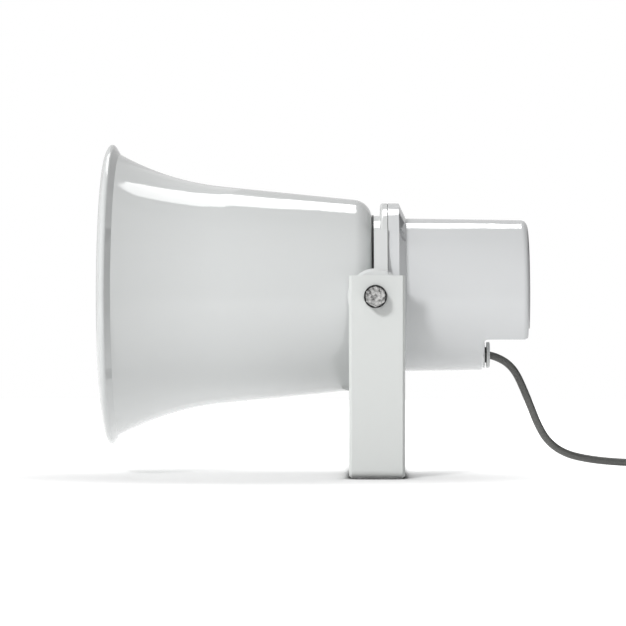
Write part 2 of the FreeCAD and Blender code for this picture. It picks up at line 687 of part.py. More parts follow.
def make_bracket():
    """The bent strip: two legs and a base with fixing holes."""
    body = keep(new_body("bracket"))
    body.clearExpression("Placement.Base.z")
    inner_bend = "bracket_bend - bracket_thickness"
    top = "pivot_height + bracket_top"
    half = [
        ("bracket_out - bracket_bend", "0", "bracket_bend", 1),
        ("bracket_out", "bracket_bend"),
        ("bracket_out", top),
        ("bracket_gap", top),
        ("bracket_gap", "bracket_bend", inner_bend, -1),
        (f"bracket_gap - ({inner_bend})", "bracket_thickness"),
    ]
    other = [
        (f"-(bracket_gap - ({inner_bend}))", "bracket_thickness", inner_bend, -1),
        ("-bracket_gap", "bracket_bend"),
        ("-bracket_gap", top),
        ("-bracket_out", top),
        ("-bracket_out", "bracket_bend", "bracket_bend", 1),
        ("-(bracket_out - bracket_bend)", "0"),
    ]
    start = "bracket_offset - bracket_width / 2"

    def draw_strip(sketch):
        draw_outline(sketch, half + other)

    raised(body, "strip", draw_strip, "YZ_Plane", start, "bracket_width")
    span = "2 * bracket_out + 2"

    def draw_pivot_holes(sketch):
        draw_circle(sketch, "0", "pivot_height", "bolt_hole_radius")

    sunk(body, "pivot_holes", draw_pivot_holes, "XZ_Plane", "0", span, both_ways=True)

    def draw_base_holes(sketch):
        for side in ("", "-"):
            draw_circle(sketch, "bracket_offset", f"{side}base_hole_pitch / 2", "base_hole_radius")

    sunk(body, "base_holes", draw_base_holes, "XY_Plane", "bracket_thickness + 1", "bracket_thickness + 2")
    sides = (value(start), value(f"{start} + bracket_width"))
    out = value("bracket_out")

    def along_outside(box):
        on_side = box.XLength < 1e-6 and min(abs(box.XMin - side) for side in sides) < 1e-6
        up_leg = box.ZLength > 1e-6 and max(-box.YMin, box.YMax) > out - 1e-6
        return on_side and (box.ZMax < 1e-6 or up_leg)

    edged(body, "strip_edges", along_outside, "Size", "bracket_edge")


def make_pivot_fasteners():
    """Pivot bolts with hexagon heads, and their spring and flat washers."""
    bolts = keep(new_body("pivot_bolts"))
    shank = rectangle("0", "bolt_radius", "spring_washer_out - bolt_length", "spring_washer_out")
    shank_turn = turned(bolts, "shank", shank, "XY_Plane", "V_Axis")

    def draw_hexagon(sketch):
        corners = on_circle("bolt_flats / 2 / cos(30)", 6, 30.0)
        draw_outline(sketch, corners)

    head = raised(bolts, "head", draw_hexagon, "XZ_Plane", "-spring_washer_out - bolt_head", "bolt_head")
    top = "spring_washer_out + bolt_head"
    bevel = [
        ("bolt_flats / 2", top),
        ("bolt_flats", top),
        ("bolt_flats", f"{top} - bolt_flats / 2 * tan(30)"),
    ]
    bevel_cut = turned(bolts, "head_bevel", bevel, "XY_Plane", "V_Axis", removes=True)
    mirrored(bolts, "both_bolts", [shank_turn, head, bevel_cut])

    springs = keep(new_body("spring_washers"))
    ring = rectangle("bolt_hole_radius", "spring_washer_radius", "flat_washer_out", "spring_washer_out")
    ring_turn = turned(springs, "spring_ring", ring, "XY_Plane", "V_Axis")

    def draw_slit(sketch):
        slit = rectangle("0", "spring_washer_radius + 1", "-spring_washer_slit / 2", "spring_washer_slit / 2")
        draw_outline(sketch, slit)

    slit_cut = sunk(springs, "slit", draw_slit, "XZ_Plane", "0", "2 * spring_washer_out + 2", both_ways=True)
    mirrored(springs, "both_springs", [ring_turn, slit_cut])

    flats = keep(new_body("flat_washers"))
    disc = rectangle("bolt_hole_radius", "flat_washer_radius", "bracket_out", "flat_washer_out")
    mirrored(flats, "both_flats", [turned(flats, "flat_ring", disc, "XY_Plane", "V_Axis")])


def make_screws(label, pitch, lean, seat, direction, radius, length, head_radius, head_height):
    """A ring of pan-head screws along X, heads at a seat and shanks towards direction 1 or -1."""
    body = keep(new_body(label, lean))
    tip = f"{seat} + {direction} * ({length})"
    crown = f"{seat} - {direction} * ({head_height})"
    recess = f"{crown} + {direction} * screw_recess_depth"
    corners = [
        (tip, pitch),
        (tip, f"{pitch} + {radius}"),
        (seat, f"{pitch} + {radius}"),
        (seat, f"{pitch} + {head_radius}"),
        (crown, f"{pitch} + {head_radius} * 0.8"),
        (crown, f"{pitch} + screw_recess_radius"),
        (recess, f"{pitch} + screw_recess_radius"),
        (recess, pitch),
    ]
    screw = turned(body, f"{label}_one", corners, about=((tip, pitch), (recess, pitch)))
    patterned(body, f"{label}_ring", [screw], SCREW_COUNT)


def make_all_screws():
    """Bell, driver and case screws."""
    inner_head = ("screw_head_radius", "screw_head_height")
    bell_seat = "bell_floor - tube_flange_thickness"
    bell = ("bell_screw_radius", "bell_screw_length")
    make_screws("bell_screws", "bell_screw_pitch", DIAGONAL, bell_seat, 1, *bell, *inner_head)
    driver = ("driver_screw_radius", "driver_screw_length")
    make_screws("driver_screws", "driver_screw_pitch", 0.0, "plate_back", -1, *driver, *inner_head)
    case = ("case_screw_radius", "case_screw_length")
    case_head = ("case_head_radius", "case_head_height")
    make_screws("case_screws", "case_screw_pitch", DIAGONAL, "case_head_x", -1, *case, *case_head)


def make_case_gasket():
    """The thin rubber ring that shows as a dark seam in front of the case."""
    body = keep(new_body("case_gasket"))
    ring = rectangle("ring_back", "case_front", "can_radius - case_wall", "ring_radius - gasket_inset")
    turned(body, "gasket_turn", ring)
    places = on_circle("case_screw_pitch", SCREW_COUNT, DIAGONAL)
    radius = "case_screw_radius + fit_gap"
    bored(body, "gasket_holes", places, radius, "ring_back - 1", "case_front + 1")


def make_rear_case():
    """The rear case: flange with screw wells, tapered can, notch, raised panel, posts inside."""
    outside = new_body("case_outside")
    corners = [
        ("case_front", "0"),
        ("case_front", "ring_radius"),
        ("flange_back", "ring_radius"),
        ("can_front", "can_radius"),
        ("panel_back - can_corner", "can_back_radius", "can_corner", -1),
        ("panel_back", "can_back_radius - can_corner"),
        ("panel_back", "0"),
    ]
    turned(outside, "case_turn", corners)
    far = "panel_back + 10"
    low = "-ring_radius - 10"

    def draw_notch(sketch):
        draw_outline(
            sketch,
            [
                ("notch_wall", low),
                ("notch_wall", "-notch_drop - notch_round", "notch_round", -1),
                ("notch_wall + notch_round", "-notch_drop"),
                ("can_back - notch_edge", "-notch_drop", "notch_edge", 1),
                ("can_back", "-notch_drop + notch_edge"),
                (far, "-notch_drop + notch_edge"),
                (far, low),
            ],
        )

    sunk(outside, "notch", draw_notch, "XZ_Plane", "0", "2 * ring_radius + 2", both_ways=True)
    wall_x = value("notch_wall")

    def under_wall(box):
        return box.XLength < 1e-3 and abs(box.XMin - wall_x) < 1e-3 and box.ZLength > 1e-3

    edged(outside, "wall_edge", under_wall, "Radius", "notch_lip")

    def draw_below_panel(sketch):
        draw_outline(sketch, rectangle("can_back", far, low, "-panel_drop"))

    sunk(outside, "below_panel", draw_below_panel, "XZ_Plane", "0", "2 * ring_radius + 2", both_ways=True)
    places = on_circle("case_screw_pitch", SCREW_COUNT, DIAGONAL)
    bored(outside, "wells", places, "well_radius", "case_head_x", "can_front + 1")
    radius = "case_screw_radius + fit_gap"
    bored(outside, "case_holes", places, radius, "case_front - 1", "case_head_x + 1")
    gland = [("0", "-gland_drop")]
    bored(outside, "gland_hole", gland, "gland_thread_radius + fit_gap", "notch_inside - 1", "notch_wall + 1")

    cavity = new_body("case_cavity")
    hollow = [
        ("case_front - 1", "0"),
        ("case_front - 1", "can_radius - case_wall"),
        ("can_front", "can_radius - case_wall"),
        ("can_inside - can_corner + case_wall", "can_back_radius - case_wall", "can_corner - case_wall", -1),
        ("can_inside", "can_back_radius - can_corner"),
        ("can_inside", "0"),
    ]
    turned(cavity, "cavity_turn", hollow)

    def draw_step(sketch):
        draw_outline(sketch, rectangle("notch_inside", far, low, "roof_inside"))

    sunk(cavity, "cavity_step", draw_step, "XZ_Plane", "0", "2 * ring_radius + 2", both_ways=True)

    def draw_posts(sketch):
        for side in ("", "-"):
            draw_circle(sketch, f"{side}foot_middle", "core_rise", "post_radius")

    sunk(cavity, "posts", draw_posts, "YZ_Plane", "can_inside + 1", "post_length + 1")
    shell = document.addObject("Part::Cut", "case_shell")
    shell.Base = outside
    shell.Tool = cavity

    drills = new_body("post_drills")

    def draw_drills(sketch):
        for side in ("", "-"):
            draw_circle(sketch, f"{side}foot_middle", "core_rise", "frame_screw_radius + fit_gap")

    depth = "frame_screw_length - frame_sheet + tip_room"
    raised(drills, "drills", draw_drills, "YZ_Plane", "post_face - 1", f"{depth} + 1")
    case = document.addObject("Part::Cut", "rear_case")
    case.Label = "rear_case"
    case.Base = shell
    case.Tool = drills
    keep(case)


def make_driver():
    """The compression driver: cover, phase plug, diaphragm with voice coil, plates and magnet."""
    cover = keep(new_body("driver_cover"))
    corners = [
        ("ring_back", "throat_radius"),
        ("ring_back", "cover_radius"),
        ("cover_back", "cover_radius"),
        ("cover_back", "surround_radius + run_gap"),
        ("cavity_front", "surround_radius + run_gap"),
        ("cavity_front", "dome_well_radius"),
        ("dome_room", "dome_well_radius"),
        ("dome_room", "throat_radius"),
    ]
    turned(cover, "cover_turn", corners)
    places = on_circle("driver_screw_pitch", SCREW_COUNT)
    radius = "driver_screw_radius + fit_gap"
    bored(cover, "cover_holes", places, radius, "ring_back - 1", "cover_back + 1")

    plug = keep(new_body("phase_plug"))
    rim = "throat_radius - fit_gap"
    ring = rectangle("plug_front", "plug_back", f"{rim} - plug_ring_wall", rim)
    turned(plug, "plug_ring", ring)

    def draw_rib(sketch):
        outer = "throat_radius - fit_gap - plug_ring_wall / 2"
        draw_outline(sketch, rectangle("plug_front + plug_rib", "plug_back", "plug_radius / 2", outer))

    rib = raised(plug, "plug_rib_one", draw_rib, "XZ_Plane", "0", "plug_rib", both_ways=True)
    patterned(plug, "plug_ribs", [rib], VANE_COUNT)
    bullet = [("plug_front", "0"), ("plug_back", "plug_radius"), ("plug_back", "0")]
    turned(plug, "bullet", bullet)

    diaphragm = keep(new_body("diaphragm"))
    back_foot = "dome_radius - surround_thickness"
    back_sphere = "dome_sphere - surround_thickness"
    corners = [
        ("surround_front - dome_height", "0", "dome_sphere", -1),
        ("surround_front", "dome_radius"),
        ("surround_front", "surround_radius"),
        ("surround_back", "surround_radius"),
        ("surround_back", back_foot),
        (f"dome_middle - sqrt(({back_sphere}) ^ 2 - ({back_foot}) ^ 2)", back_foot, back_sphere, 1),
        ("surround_front - dome_height + surround_thickness", "0"),
    ]
    turned(diaphragm, "diaphragm_turn", corners)

    coil = keep(new_body("voice_coil"))
    former = "coil_bore + coil_former"
    end = "surround_back + coil_length"
    corners = [
        ("surround_back", "coil_bore"),
        ("surround_back", former),
        ("cover_back", former),
        ("cover_back", f"{former} + coil_winding"),
        (end, f"{former} + coil_winding"),
        (end, "coil_bore"),
    ]
    turned(coil, "voice_coil_turn", corners)

    plate = keep(new_body("top_plate"))
    turned(plate, "plate_turn", rectangle("cover_back", "plate_back", "dome_well_radius", "cover_radius"))
    bored(plate, "plate_holes", places, radius, "cover_back - 1", "plate_back + 1")

    magnet = keep(new_body("magnet"))
    turned(magnet, "magnet_turn", rectangle("plate_back", "magnet_back", "magnet_bore", "magnet_radius"))

    yoke = keep(new_body("pole_yoke"))
    corners = [
        ("cover_back", "0"),
        ("cover_back", "pole_radius"),
        ("magnet_back", "pole_radius"),
        ("magnet_back", "yoke_radius"),
        ("yoke_back", "yoke_radius"),
        ("yoke_back", "0"),
    ]
    turned(yoke, "yoke_turn", corners)


def make_transformer():
    """The line transformer: laminated core, winding, channel frame and its two screws."""
    core = keep(new_body("transformer_core"))
    half_stack = "core_stack / 2"
    limb = "limb_width / 2"

    def draw_core(sketch):
        draw_outline(sketch, rectangle("core_front", "core_back", "-core_width / 2", "core_width / 2"))
        draw_outline(sketch, rectangle("window_front", "window_back", limb, f"{limb} + window_width"))
        draw_outline(sketch, rectangle("window_front", "window_back", f"-{limb} - window_width", f"-{limb}"))

    raised(core, "laminations", draw_core, "XY_Plane", f"core_rise - {half_stack}", "core_stack")

    winding = keep(new_body("transformer_winding"))
    inside = f"{limb} + winding_gap"
    outside = f"{limb} + window_width - winding_gap"
    front = "window_front + winding_gap"
    back = "window_back - winding_gap"

    def draw_winding(sketch):
        top = f"core_rise + {half_stack} + winding_gap"
        bottom = f"core_rise - {half_stack} - winding_gap"
        high = f"{top} + winding_build"
        deep = f"{bottom} - winding_build"
        draw_outline(sketch, rectangle(f"-({outside})", outside, deep, high))
        draw_outline(sketch, rectangle(f"-({inside})", inside, bottom, top))

    raised(winding, "turns", draw_winding, "YZ_Plane", front, f"{back} - ({front})")

    frame = keep(new_body("transformer_frame"))
    front = "core_front - frame_sheet"
    toe = "frame_half + frame_foot"

    def draw_frame(sketch):
        inner = [("core_front", "core_width / 2"), ("core_front", "-core_width / 2")]
        foot = "core_back - frame_sheet"
        outline = [
            (front, "-frame_half"),
            (foot, "-frame_half"),
            (foot, f"-({toe})"),
            ("core_back", f"-({toe})"),
            ("core_back", "-core_width / 2"),
            inner[1],
            inner[0],
            ("core_back", "core_width / 2"),
            ("core_back", toe),
            (foot, toe),
            (foot, "frame_half"),
            (front, "frame_half"),
        ]
        draw_outline(sketch, outline)

    raised(frame, "channel", draw_frame, "XY_Plane", f"core_rise - {half_stack}", "core_stack")
    feet = [(f"{side}foot_middle", "core_rise") for side in ("", "-")]
    radius = "frame_screw_radius + fit_gap"
    bored(frame, "foot_holes", feet, radius, "core_back - frame_sheet - 1", "core_back + 1")

    screws = keep(new_body("frame_screws"))
    seat = "core_back - frame_sheet"

    def draw_heads(sketch):
        for across, up in feet:
            draw_circle(sketch, across, up, "screw_head_radius")

    def draw_shanks(sketch):
        for across, up in feet:
            draw_circle(sketch, across, up, "frame_screw_radius")

    raised(screws, "heads", draw_heads, "YZ_Plane", f"{seat} - screw_head_height", "screw_head_height")
    raised(screws, "shanks", draw_shanks, "YZ_Plane", seat, "frame_screw_length")


def make_terminal_block():
    """The terminal block on the notch's roof inside the case, with its two screws."""
    block = keep(new_body("terminal_block"))
    block_top = "roof_inside + block_height"

    def draw_block(sketch):
        back = "block_front + block_length"
        draw_outline(sketch, rectangle("block_front", back, "-block_width / 2", "block_width / 2"))

    raised(block, "block", draw_block, "XY_Plane", "roof_inside", "block_height")
    middle = "block_front + block_length / 2"

    def draw_poles(sketch):
        for side in ("", "-"):
            draw_circle(sketch, middle, f"{side}block_pole", "terminal_radius + fit_gap")

    sunk(block, "pole_wells", draw_poles, "XY_Plane", f"{block_top} + 1", "block_height / 2 + 1")
    poles = keep(new_body("terminal_screws"))

    def draw_screws(sketch):
        for side in ("", "-"):
            draw_circle(sketch, middle, f"{side}block_pole", "terminal_radius")

    height = "block_height / 2 + terminal_height"
    raised(poles, "poles", draw_screws, "XY_Plane", f"{block_top} - block_height / 2", height)


def turned_on_gland(label, corners):
    """A piece turned about the gland's own axis; radii are measured from that axis."""
    body = keep(new_body(label))
    body.setExpression("Placement.Base.z", bound("pivot_height - gland_drop"))
    turned(body, f"{label}_turn", corners)
    return body


def make_gland():
    """The cable gland: flanged base, lock nut, rubber seal, cap, and the cable's tail in the case."""
    thread_end = "notch_wall - gland_thread_length"
    turned_on_gland(
        "gland_base",
        [
            (thread_end, "cable_bore"),
            (thread_end, "gland_thread_radius"),
            ("notch_wall", "gland_thread_radius"),
            ("notch_wall", "gland_radius"),
            ("gland_flange_out", "gland_radius"),
            ("gland_flange_out", "cable_bore"),
        ],
    )
    turned_on_gland("gland_seal", rectangle("gland_flange_out", "seal_out", "cable_bore", "seal_radius"))
    turned_on_gland(
        "gland_cap",
        [
            ("seal_out", "cable_bore"),
            ("seal_out", "gland_radius"),
            ("cap_out - cap_edge", "gland_radius", "cap_edge", -1),
            ("cap_out", "gland_radius - cap_edge"),
            ("cap_out", "cable_bore"),
        ],
    )
    nut = keep(new_body("gland_nut"))
    nut.setExpression("Placement.Base.z", bound("pivot_height - gland_drop"))

    def draw_nut(sketch):
        draw_outline(sketch, on_circle("gland_nut_flats / 2 / cos(30)", 6))
        draw_circle(sketch, "0", "0", "gland_thread_radius + fit_gap")

    raised(nut, "nut", draw_nut, "YZ_Plane", "notch_inside - gland_nut", "gland_nut")
    start = CABLE_ROUTE[0][0]
    turned_on_gland("cable_tail", rectangle(f"{start} - tail_length", f"{start}", "0", "cable_radius"))


def route_path(points):
    """Straight runs joined by tangent arcs, and the arcs' radii."""
    edges = []
    radii = []
    position = points[0]
    for before, corner, after in zip(points, points[1:], points[2:]):
        incoming = (corner - before).normalize()
        outgoing = (after - corner).normalize()
        half_turn = incoming.getAngle(outgoing) / 2
        cut = ARC_SHARE * min((corner - before).Length, (after - corner).Length)
        radius = cut / math.tan(half_turn)
        start = corner - incoming * cut
        finish = corner + outgoing * cut
        inward = (outgoing - incoming).normalize()
        middle = corner + inward * (radius / math.cos(half_turn) - radius)
        edges.append(Part.LineSegment(position, start).toShape())
        edges.append(Part.Arc(start, middle, finish).toShape())
        radii.append(radius)
        position = finish
    edges.append(Part.LineSegment(position, points[-1]).toShape())
    return Part.Wire(edges), radii


def make_feature(label, shape, placement=None):
    """A sub-part whose shape is made by Part's own functions."""
    feature = document.addObject("Part::Feature", label)
    feature.Label = label
    feature.Shape = shape
    feature.Placement = placement or FreeCAD.Placement()
    return keep(feature)


def make_cable():
    """The free cable: the visible stretch, the coil of the rest, its tie and its bare end."""
    radius = value("cable_radius")
    points = [Vector(*point) for point in CABLE_ROUTE]
    path, radii = route_path(points)
    print("cable arc radii", [round(item, 1) for item in radii])
    heading = (points[1] - points[0]).normalize()
    section = Part.Wire(Part.makeCircle(radius, points[0], heading))
    tube = path.makePipeShell([section], True, False)
    ratio = tube.Volume / (math.pi * radius**2 * path.Length)
    print("cable length", round(path.Length, 1), "volume ratio", round(ratio, 4))
    if abs(ratio - 1) > 0.01:
        raise RuntimeError("the cable's volume differs from its section times its length")
    make_feature("cable_run", tube)

    build = value("coil_build")
    middle = value("coil_turn_radius")
    arrival = (points[-1] - points[-2]).normalize()
    aside = Vector(-arrival.y, arrival.x, 0).normalize()
    outer_turn = middle + build / 2 - radius
    centre = points[-1] + Vector(arrival.x, arrival.y, 0).normalize() * COIL_LEAD_IN + aside * outer_turn
    centre.z = 0.0
    outside = Part.makeCylinder(middle + build / 2, build)
    ring = outside.cut(Part.makeCylinder(middle - build / 2, build))
    rims = [edge for edge in ring.Edges if isinstance(edge.Curve, Part.Circle)]
    ring = ring.makeFillet(value("coil_edge"), rims)
    make_feature("cable_coil", ring, FreeCAD.Placement(centre, FreeCAD.Rotation()))

    end_angle = math.atan2(-aside.y, -aside.x) + math.radians(CABLE_END_TURN)
    radial = Vector(math.cos(end_angle), math.sin(end_angle), 0)
    onward = Vector(-radial.y, radial.x, 0)
    lift = Vector(0, 0, radius)
    start = centre + radial * outer_turn + onward * COIL_LEAD_IN + lift
    jacket = Part.makeCylinder(radius, value("end_length"), start, onward)
    make_feature("cable_end", jacket)
    stripped = start + onward * value("end_length")
    core_radius = value("core_radius")
    cores = []
    tips = []
    for side in (1, -1):
        core_start = stripped + radial * side * (core_radius + value("fit_gap"))
        core_end = core_start + onward * value("core_bare")
        cores.append(Part.makeCylinder(core_radius, value("core_bare"), core_start, onward))
        tips.append(Part.makeCylinder(value("tip_radius"), value("tip_length"), core_end, onward))
    make_feature("cable_cores", Part.makeCompound(cores))
    make_feature("core_tips", Part.makeCompound(tips))

    sheet = value("tie_sheet")
    width = value("tie_width")
    gap = value("fit_gap")
    outer = Part.makeBox(build + 2 * (sheet + gap), width, build + sheet + gap)
    inner = Part.makeBox(build + 2 * gap, width, build + gap)
    inner.translate(Vector(sheet, 0, 0))
    tie = outer.cut(inner)
    turn = FreeCAD.Rotation(Vector(0, 0, 1), math.degrees(end_angle) + TIE_TURN)
    corner = turn.multVec(Vector(middle - build / 2 - sheet - gap, -width / 2, 0))
    make_feature("coil_tie", tie, FreeCAD.Placement(centre + corner, turn))


def write_parts():
    """Confirms every object and writes each sub-part to its own file."""
    document.recompute()
    for item in document.Objects:
        if "Invalid" in item.State or "Error" in item.State:
            raise RuntimeError(f"{item.Label} is in state {item.State}")
    for piece in sub_parts:
        if piece.Shape.isNull() or not piece.Shape.isValid():
            raise RuntimeError(f"{piece.Label} has no valid shape")
    os.makedirs("parts", exist_ok=True)
    for piece in sub_parts:
        piece.Shape.exportStep(f"parts/{piece.Label}.step")
        print(piece.Label, len(piece.Shape.Solids), round(piece.Shape.Volume / 1000, 2), "cm3")


make_horn_bell()
make_reflector()
make_throat_tube()
make_horn_base()
make_inserts()
make_bracket()
make_pivot_fasteners()
make_all_screws()
make_case_gasket()
make_rear_case()
make_driver()
make_transformer()
make_terminal_block()
make_gland()
make_cable()
write_parts()
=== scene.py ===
import logging
import math
from dataclasses import dataclass
from enum import Enum

import bpy
import numpy as np
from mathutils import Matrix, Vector


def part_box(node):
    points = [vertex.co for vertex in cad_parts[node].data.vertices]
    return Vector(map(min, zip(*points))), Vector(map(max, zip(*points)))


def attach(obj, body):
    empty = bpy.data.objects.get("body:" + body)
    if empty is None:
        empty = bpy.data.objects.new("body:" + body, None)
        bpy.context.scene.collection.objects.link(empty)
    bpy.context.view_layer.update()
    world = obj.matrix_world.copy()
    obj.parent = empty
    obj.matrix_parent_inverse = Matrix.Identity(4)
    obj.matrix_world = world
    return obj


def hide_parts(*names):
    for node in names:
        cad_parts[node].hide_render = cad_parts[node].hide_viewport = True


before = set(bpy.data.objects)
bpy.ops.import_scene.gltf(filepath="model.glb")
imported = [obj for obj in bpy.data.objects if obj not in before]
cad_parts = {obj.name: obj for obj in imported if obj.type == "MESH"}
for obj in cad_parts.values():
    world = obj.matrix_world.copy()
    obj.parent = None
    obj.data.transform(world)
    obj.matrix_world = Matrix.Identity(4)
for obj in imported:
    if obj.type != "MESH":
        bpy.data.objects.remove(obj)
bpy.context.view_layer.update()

log = logging.getLogger("horn_speaker")

Colour = tuple[float, float, float]
Point = tuple[float, float, float]
Pair = tuple[float, float]
Socket = bpy.types.NodeSocket
Tree = bpy.types.NodeTree

FULL_TURN = 2.0 * math.pi
TURN_DEGREES = 360.0
# The values that most of a noise lies between
NOISE_SPAN: Pair = (0.3, 0.7)
# Share of a pattern's scale that is left along its grain
DRAWN_OUT = 0.08
# Radians that Blender's band wave turns by for each metre at a scale of 1
WAVE_RADIANS = 20.0
# How CAD nodes are shaded: metres within which points join, degrees that stay crisp, weight of faces
WELD_REACH = 1e-6
CRISP_ANGLE = 26.0
FACE_WEIGHT = 60


class Body(Enum):
    """The rigid body that the new pieces ride on."""

    HORN = "horn"


class Grain(Enum):
    """Which way a surface's fine pattern runs."""

    EVEN = (1.0, 1.0, 1.0)
    ALONG_HORN = (DRAWN_OUT, 1.0, 1.0)
    ALONG_PIVOT = (1.0, DRAWN_OUT, 1.0)
    UPRIGHT = (1.0, 1.0, DRAWN_OUT)


class Stack(Enum):
    """Which way layers are stacked."""

    ALONG_HORN = "X"
    UPRIGHT = "Z"


@dataclass(frozen=True)
class Pattern:
    """A noise's size: features for each metre, and octaves of finer noise on them."""

    scale: float
    detail: float


def shade(colour: Colour, factor: float) -> Colour:
    """A colour made lighter or darker by a factor."""
    return tuple(channel * factor for channel in colour)


def scaled(value: float, shares: Pair) -> Pair:
    """Two shares of a value."""
    return value * shares[0], value * shares[1]


def ranged(
    tree: Tree,
    source: Socket,
    before: Pair = (0.0, 1.0),
    after: tuple[float | Socket, float] = (0.0, 1.0),
    soft: bool = False,
) -> Socket:
    """A value brought from one range to another.

    Args:
        tree: The node tree to add to.
        source: The value.
        before: The range that it comes from.
        after: The range that it is brought to, whose start may be a socket.
        soft: Whether it starts and ends slowly.

    Returns:
        The value socket.
    """
    spread = tree.nodes.new("ShaderNodeMapRange")
    spread.interpolation_type = "SMOOTHSTEP" if soft else "LINEAR"
    for name, value in zip(("From Min", "From Max", "To Min", "To Max"), (*before, *after)):
        if isinstance(value, Socket):
            tree.links.new(value, spread.inputs[name])
        else:
            spread.inputs[name].default_value = value
    tree.links.new(source, spread.inputs["Value"])
    return spread.outputs["Result"]


def combined(tree: Tree, operation: str, first: Socket, second: Socket) -> Socket:
    """Two values joined by a Math node.

    Args:
        tree: The node tree to add to.
        operation: The Math node's operation.
        first: The first value.
        second: The second value.

    Returns:
        The value socket.
    """
    joined = tree.nodes.new("ShaderNodeMath")
    joined.operation = operation
    tree.links.new(first, joined.inputs[0])
    tree.links.new(second, joined.inputs[1])
    return joined.outputs[0]


class ShaderSheet:
    """A material's node tree with its Principled shader, and short ways to add to it."""

    def __init__(self, name: str) -> None:
        """Starts a material of that name with a Principled shader."""
        self.material = bpy.data.materials.new(name)
        self.material.use_nodes = True
        self.tree = self.material.node_tree
        self.shader = next(node for node in self.tree.nodes if node.type == "BSDF_PRINCIPLED")
        self.place = self.tree.nodes.new("ShaderNodeTexCoord").outputs["Object"]

    def set(self, **values: float) -> None:
        """Sets sockets of the Principled shader to values that hold all over the surface."""
        for name, value in values.items():
            self.shader.inputs[name].default_value = value

    def feed(self, source: Socket, name: str) -> None:
        """Leads a pattern into a socket of the Principled shader."""
        self.tree.links.new(source, self.shader.inputs[name])

    def noise(self, pattern: Pattern, grain: Grain = Grain.EVEN) -> Socket:
        """A noise on Object coordinates that are drawn out along a grain.

        Args:
            pattern: The noise's size.
            grain: The direction that it is drawn out in.

        Returns:
            The value socket.
        """
        drawn = self.tree.nodes.new("ShaderNodeMapping")
        drawn.inputs["Scale"].default_value = grain.value
        self.tree.links.new(self.place, drawn.inputs["Vector"])
        noise = self.tree.nodes.new("ShaderNodeTexNoise")
        noise.inputs["Scale"].default_value = pattern.scale
        noise.inputs["Detail"].default_value = pattern.detail
        self.tree.links.new(drawn.outputs["Vector"], noise.inputs["Vector"])
        return noise.outputs["Fac"]

    def tint(self, source: Socket, colour: Colour, shades: Pair, span: Pair = NOISE_SPAN) -> None:
        """Colours the surface between two shades of a colour.

        Args:
            source: The pattern that decides between them.
            colour: The colour.
            shades: Factors that make the darker and the lighter shade.
            span: The pattern's values that the shades belong to.
        """
        ramp = self.tree.nodes.new("ShaderNodeValToRGB")
        for element, factor, position in zip(ramp.color_ramp.elements, shades, span):
            element.color = (*shade(colour, factor), 1.0)
            element.position = position
        self.tree.links.new(source, ramp.inputs["Fac"])
        self.feed(ramp.outputs["Color"], "Base Color")

    def gloss(self, source: Socket, roughness: Pair) -> None:
        """Varies the roughness between two values by a pattern."""
        self.feed(ranged(self.tree, source, NOISE_SPAN, roughness), "Roughness")

    def relief(self, height: Socket, depth: float, strength: float) -> None:
        """Gives the surface a fine relief, on top of any that it has.

        Args:
            height: The pattern.
            depth: Height of the relief in metres.
            strength: Share of it that shows.
        """
        bump = self.tree.nodes.new("ShaderNodeBump")
        bump.inputs["Strength"].default_value = strength
        bump.inputs["Distance"].default_value = depth
        self.tree.links.new(height, bump.inputs["Height"])
        before = self.shader.inputs["Normal"].links
        if before:
            self.tree.links.new(before[0].from_socket, bump.inputs["Normal"])
        self.feed(bump.outputs["Normal"], "Normal")


@dataclass(frozen=True)
class Finish:
    """A surface with a name and a main colour."""

    name: str
    colour: Colour

    def draw(self, sheet: ShaderSheet) -> None:
        """Adds the finish's own patterns to a sheet."""
        raise NotImplementedError

    def material(self) -> bpy.types.Material:
        """Makes the material."""
        sheet = ShaderSheet(self.name)
        self.draw(sheet)
        return sheet.material


@dataclass(frozen=True)
class MouldedPlastic(Finish):
    """Glossy injection-moulded plastic: flow marks, a faint orange peel and uneven gloss."""

    roughness: float = 0.05
    ior: float = 1.5
    flow: Pattern = Pattern(9.0, 2.0)
    flow_shades: Pair = (0.985, 1.015)
    haze: Pattern = Pattern(38.0, 4.0)
    haze_shares: Pair = (0.85, 1.2)
    peel: Pattern = Pattern(420.0, 2.0)
    peel_depth: float = 0.000003
    peel_strength: float = 0.35

    def draw(self, sheet: ShaderSheet) -> None:
        """Adds flow marks along the horn, haze and peel."""
        sheet.set(IOR=self.ior)
        sheet.tint(sheet.noise(self.flow, Grain.ALONG_HORN), self.colour, self.flow_shades)
        sheet.gloss(sheet.noise(self.haze), scaled(self.roughness, self.haze_shares))
        sheet.relief(sheet.noise(self.peel), self.peel_depth, self.peel_strength)


@dataclass(frozen=True)
class PaintedSteel(Finish):
    """Sprayed paint on steel strip: orange peel and slightly cloudy colour."""

    roughness: float = 0.3
    ior: float = 1.48
    cloud: Pattern = Pattern(7.0, 2.0)
    cloud_shades: Pair = (0.994, 1.006)
    haze: Pattern = Pattern(60.0, 3.0)
    haze_shares: Pair = (1.0, 1.25)
    peel: Pattern = Pattern(650.0, 2.0)
    peel_depth: float = 0.000018
    peel_strength: float = 0.5

    def draw(self, sheet: ShaderSheet) -> None:
        """Adds clouds, haze and peel."""
        sheet.set(IOR=self.ior)
        sheet.tint(sheet.noise(self.cloud), self.colour, self.cloud_shades)
        sheet.gloss(sheet.noise(self.haze), scaled(self.roughness, self.haze_shares))
        sheet.relief(sheet.noise(self.peel), self.peel_depth, self.peel_strength)


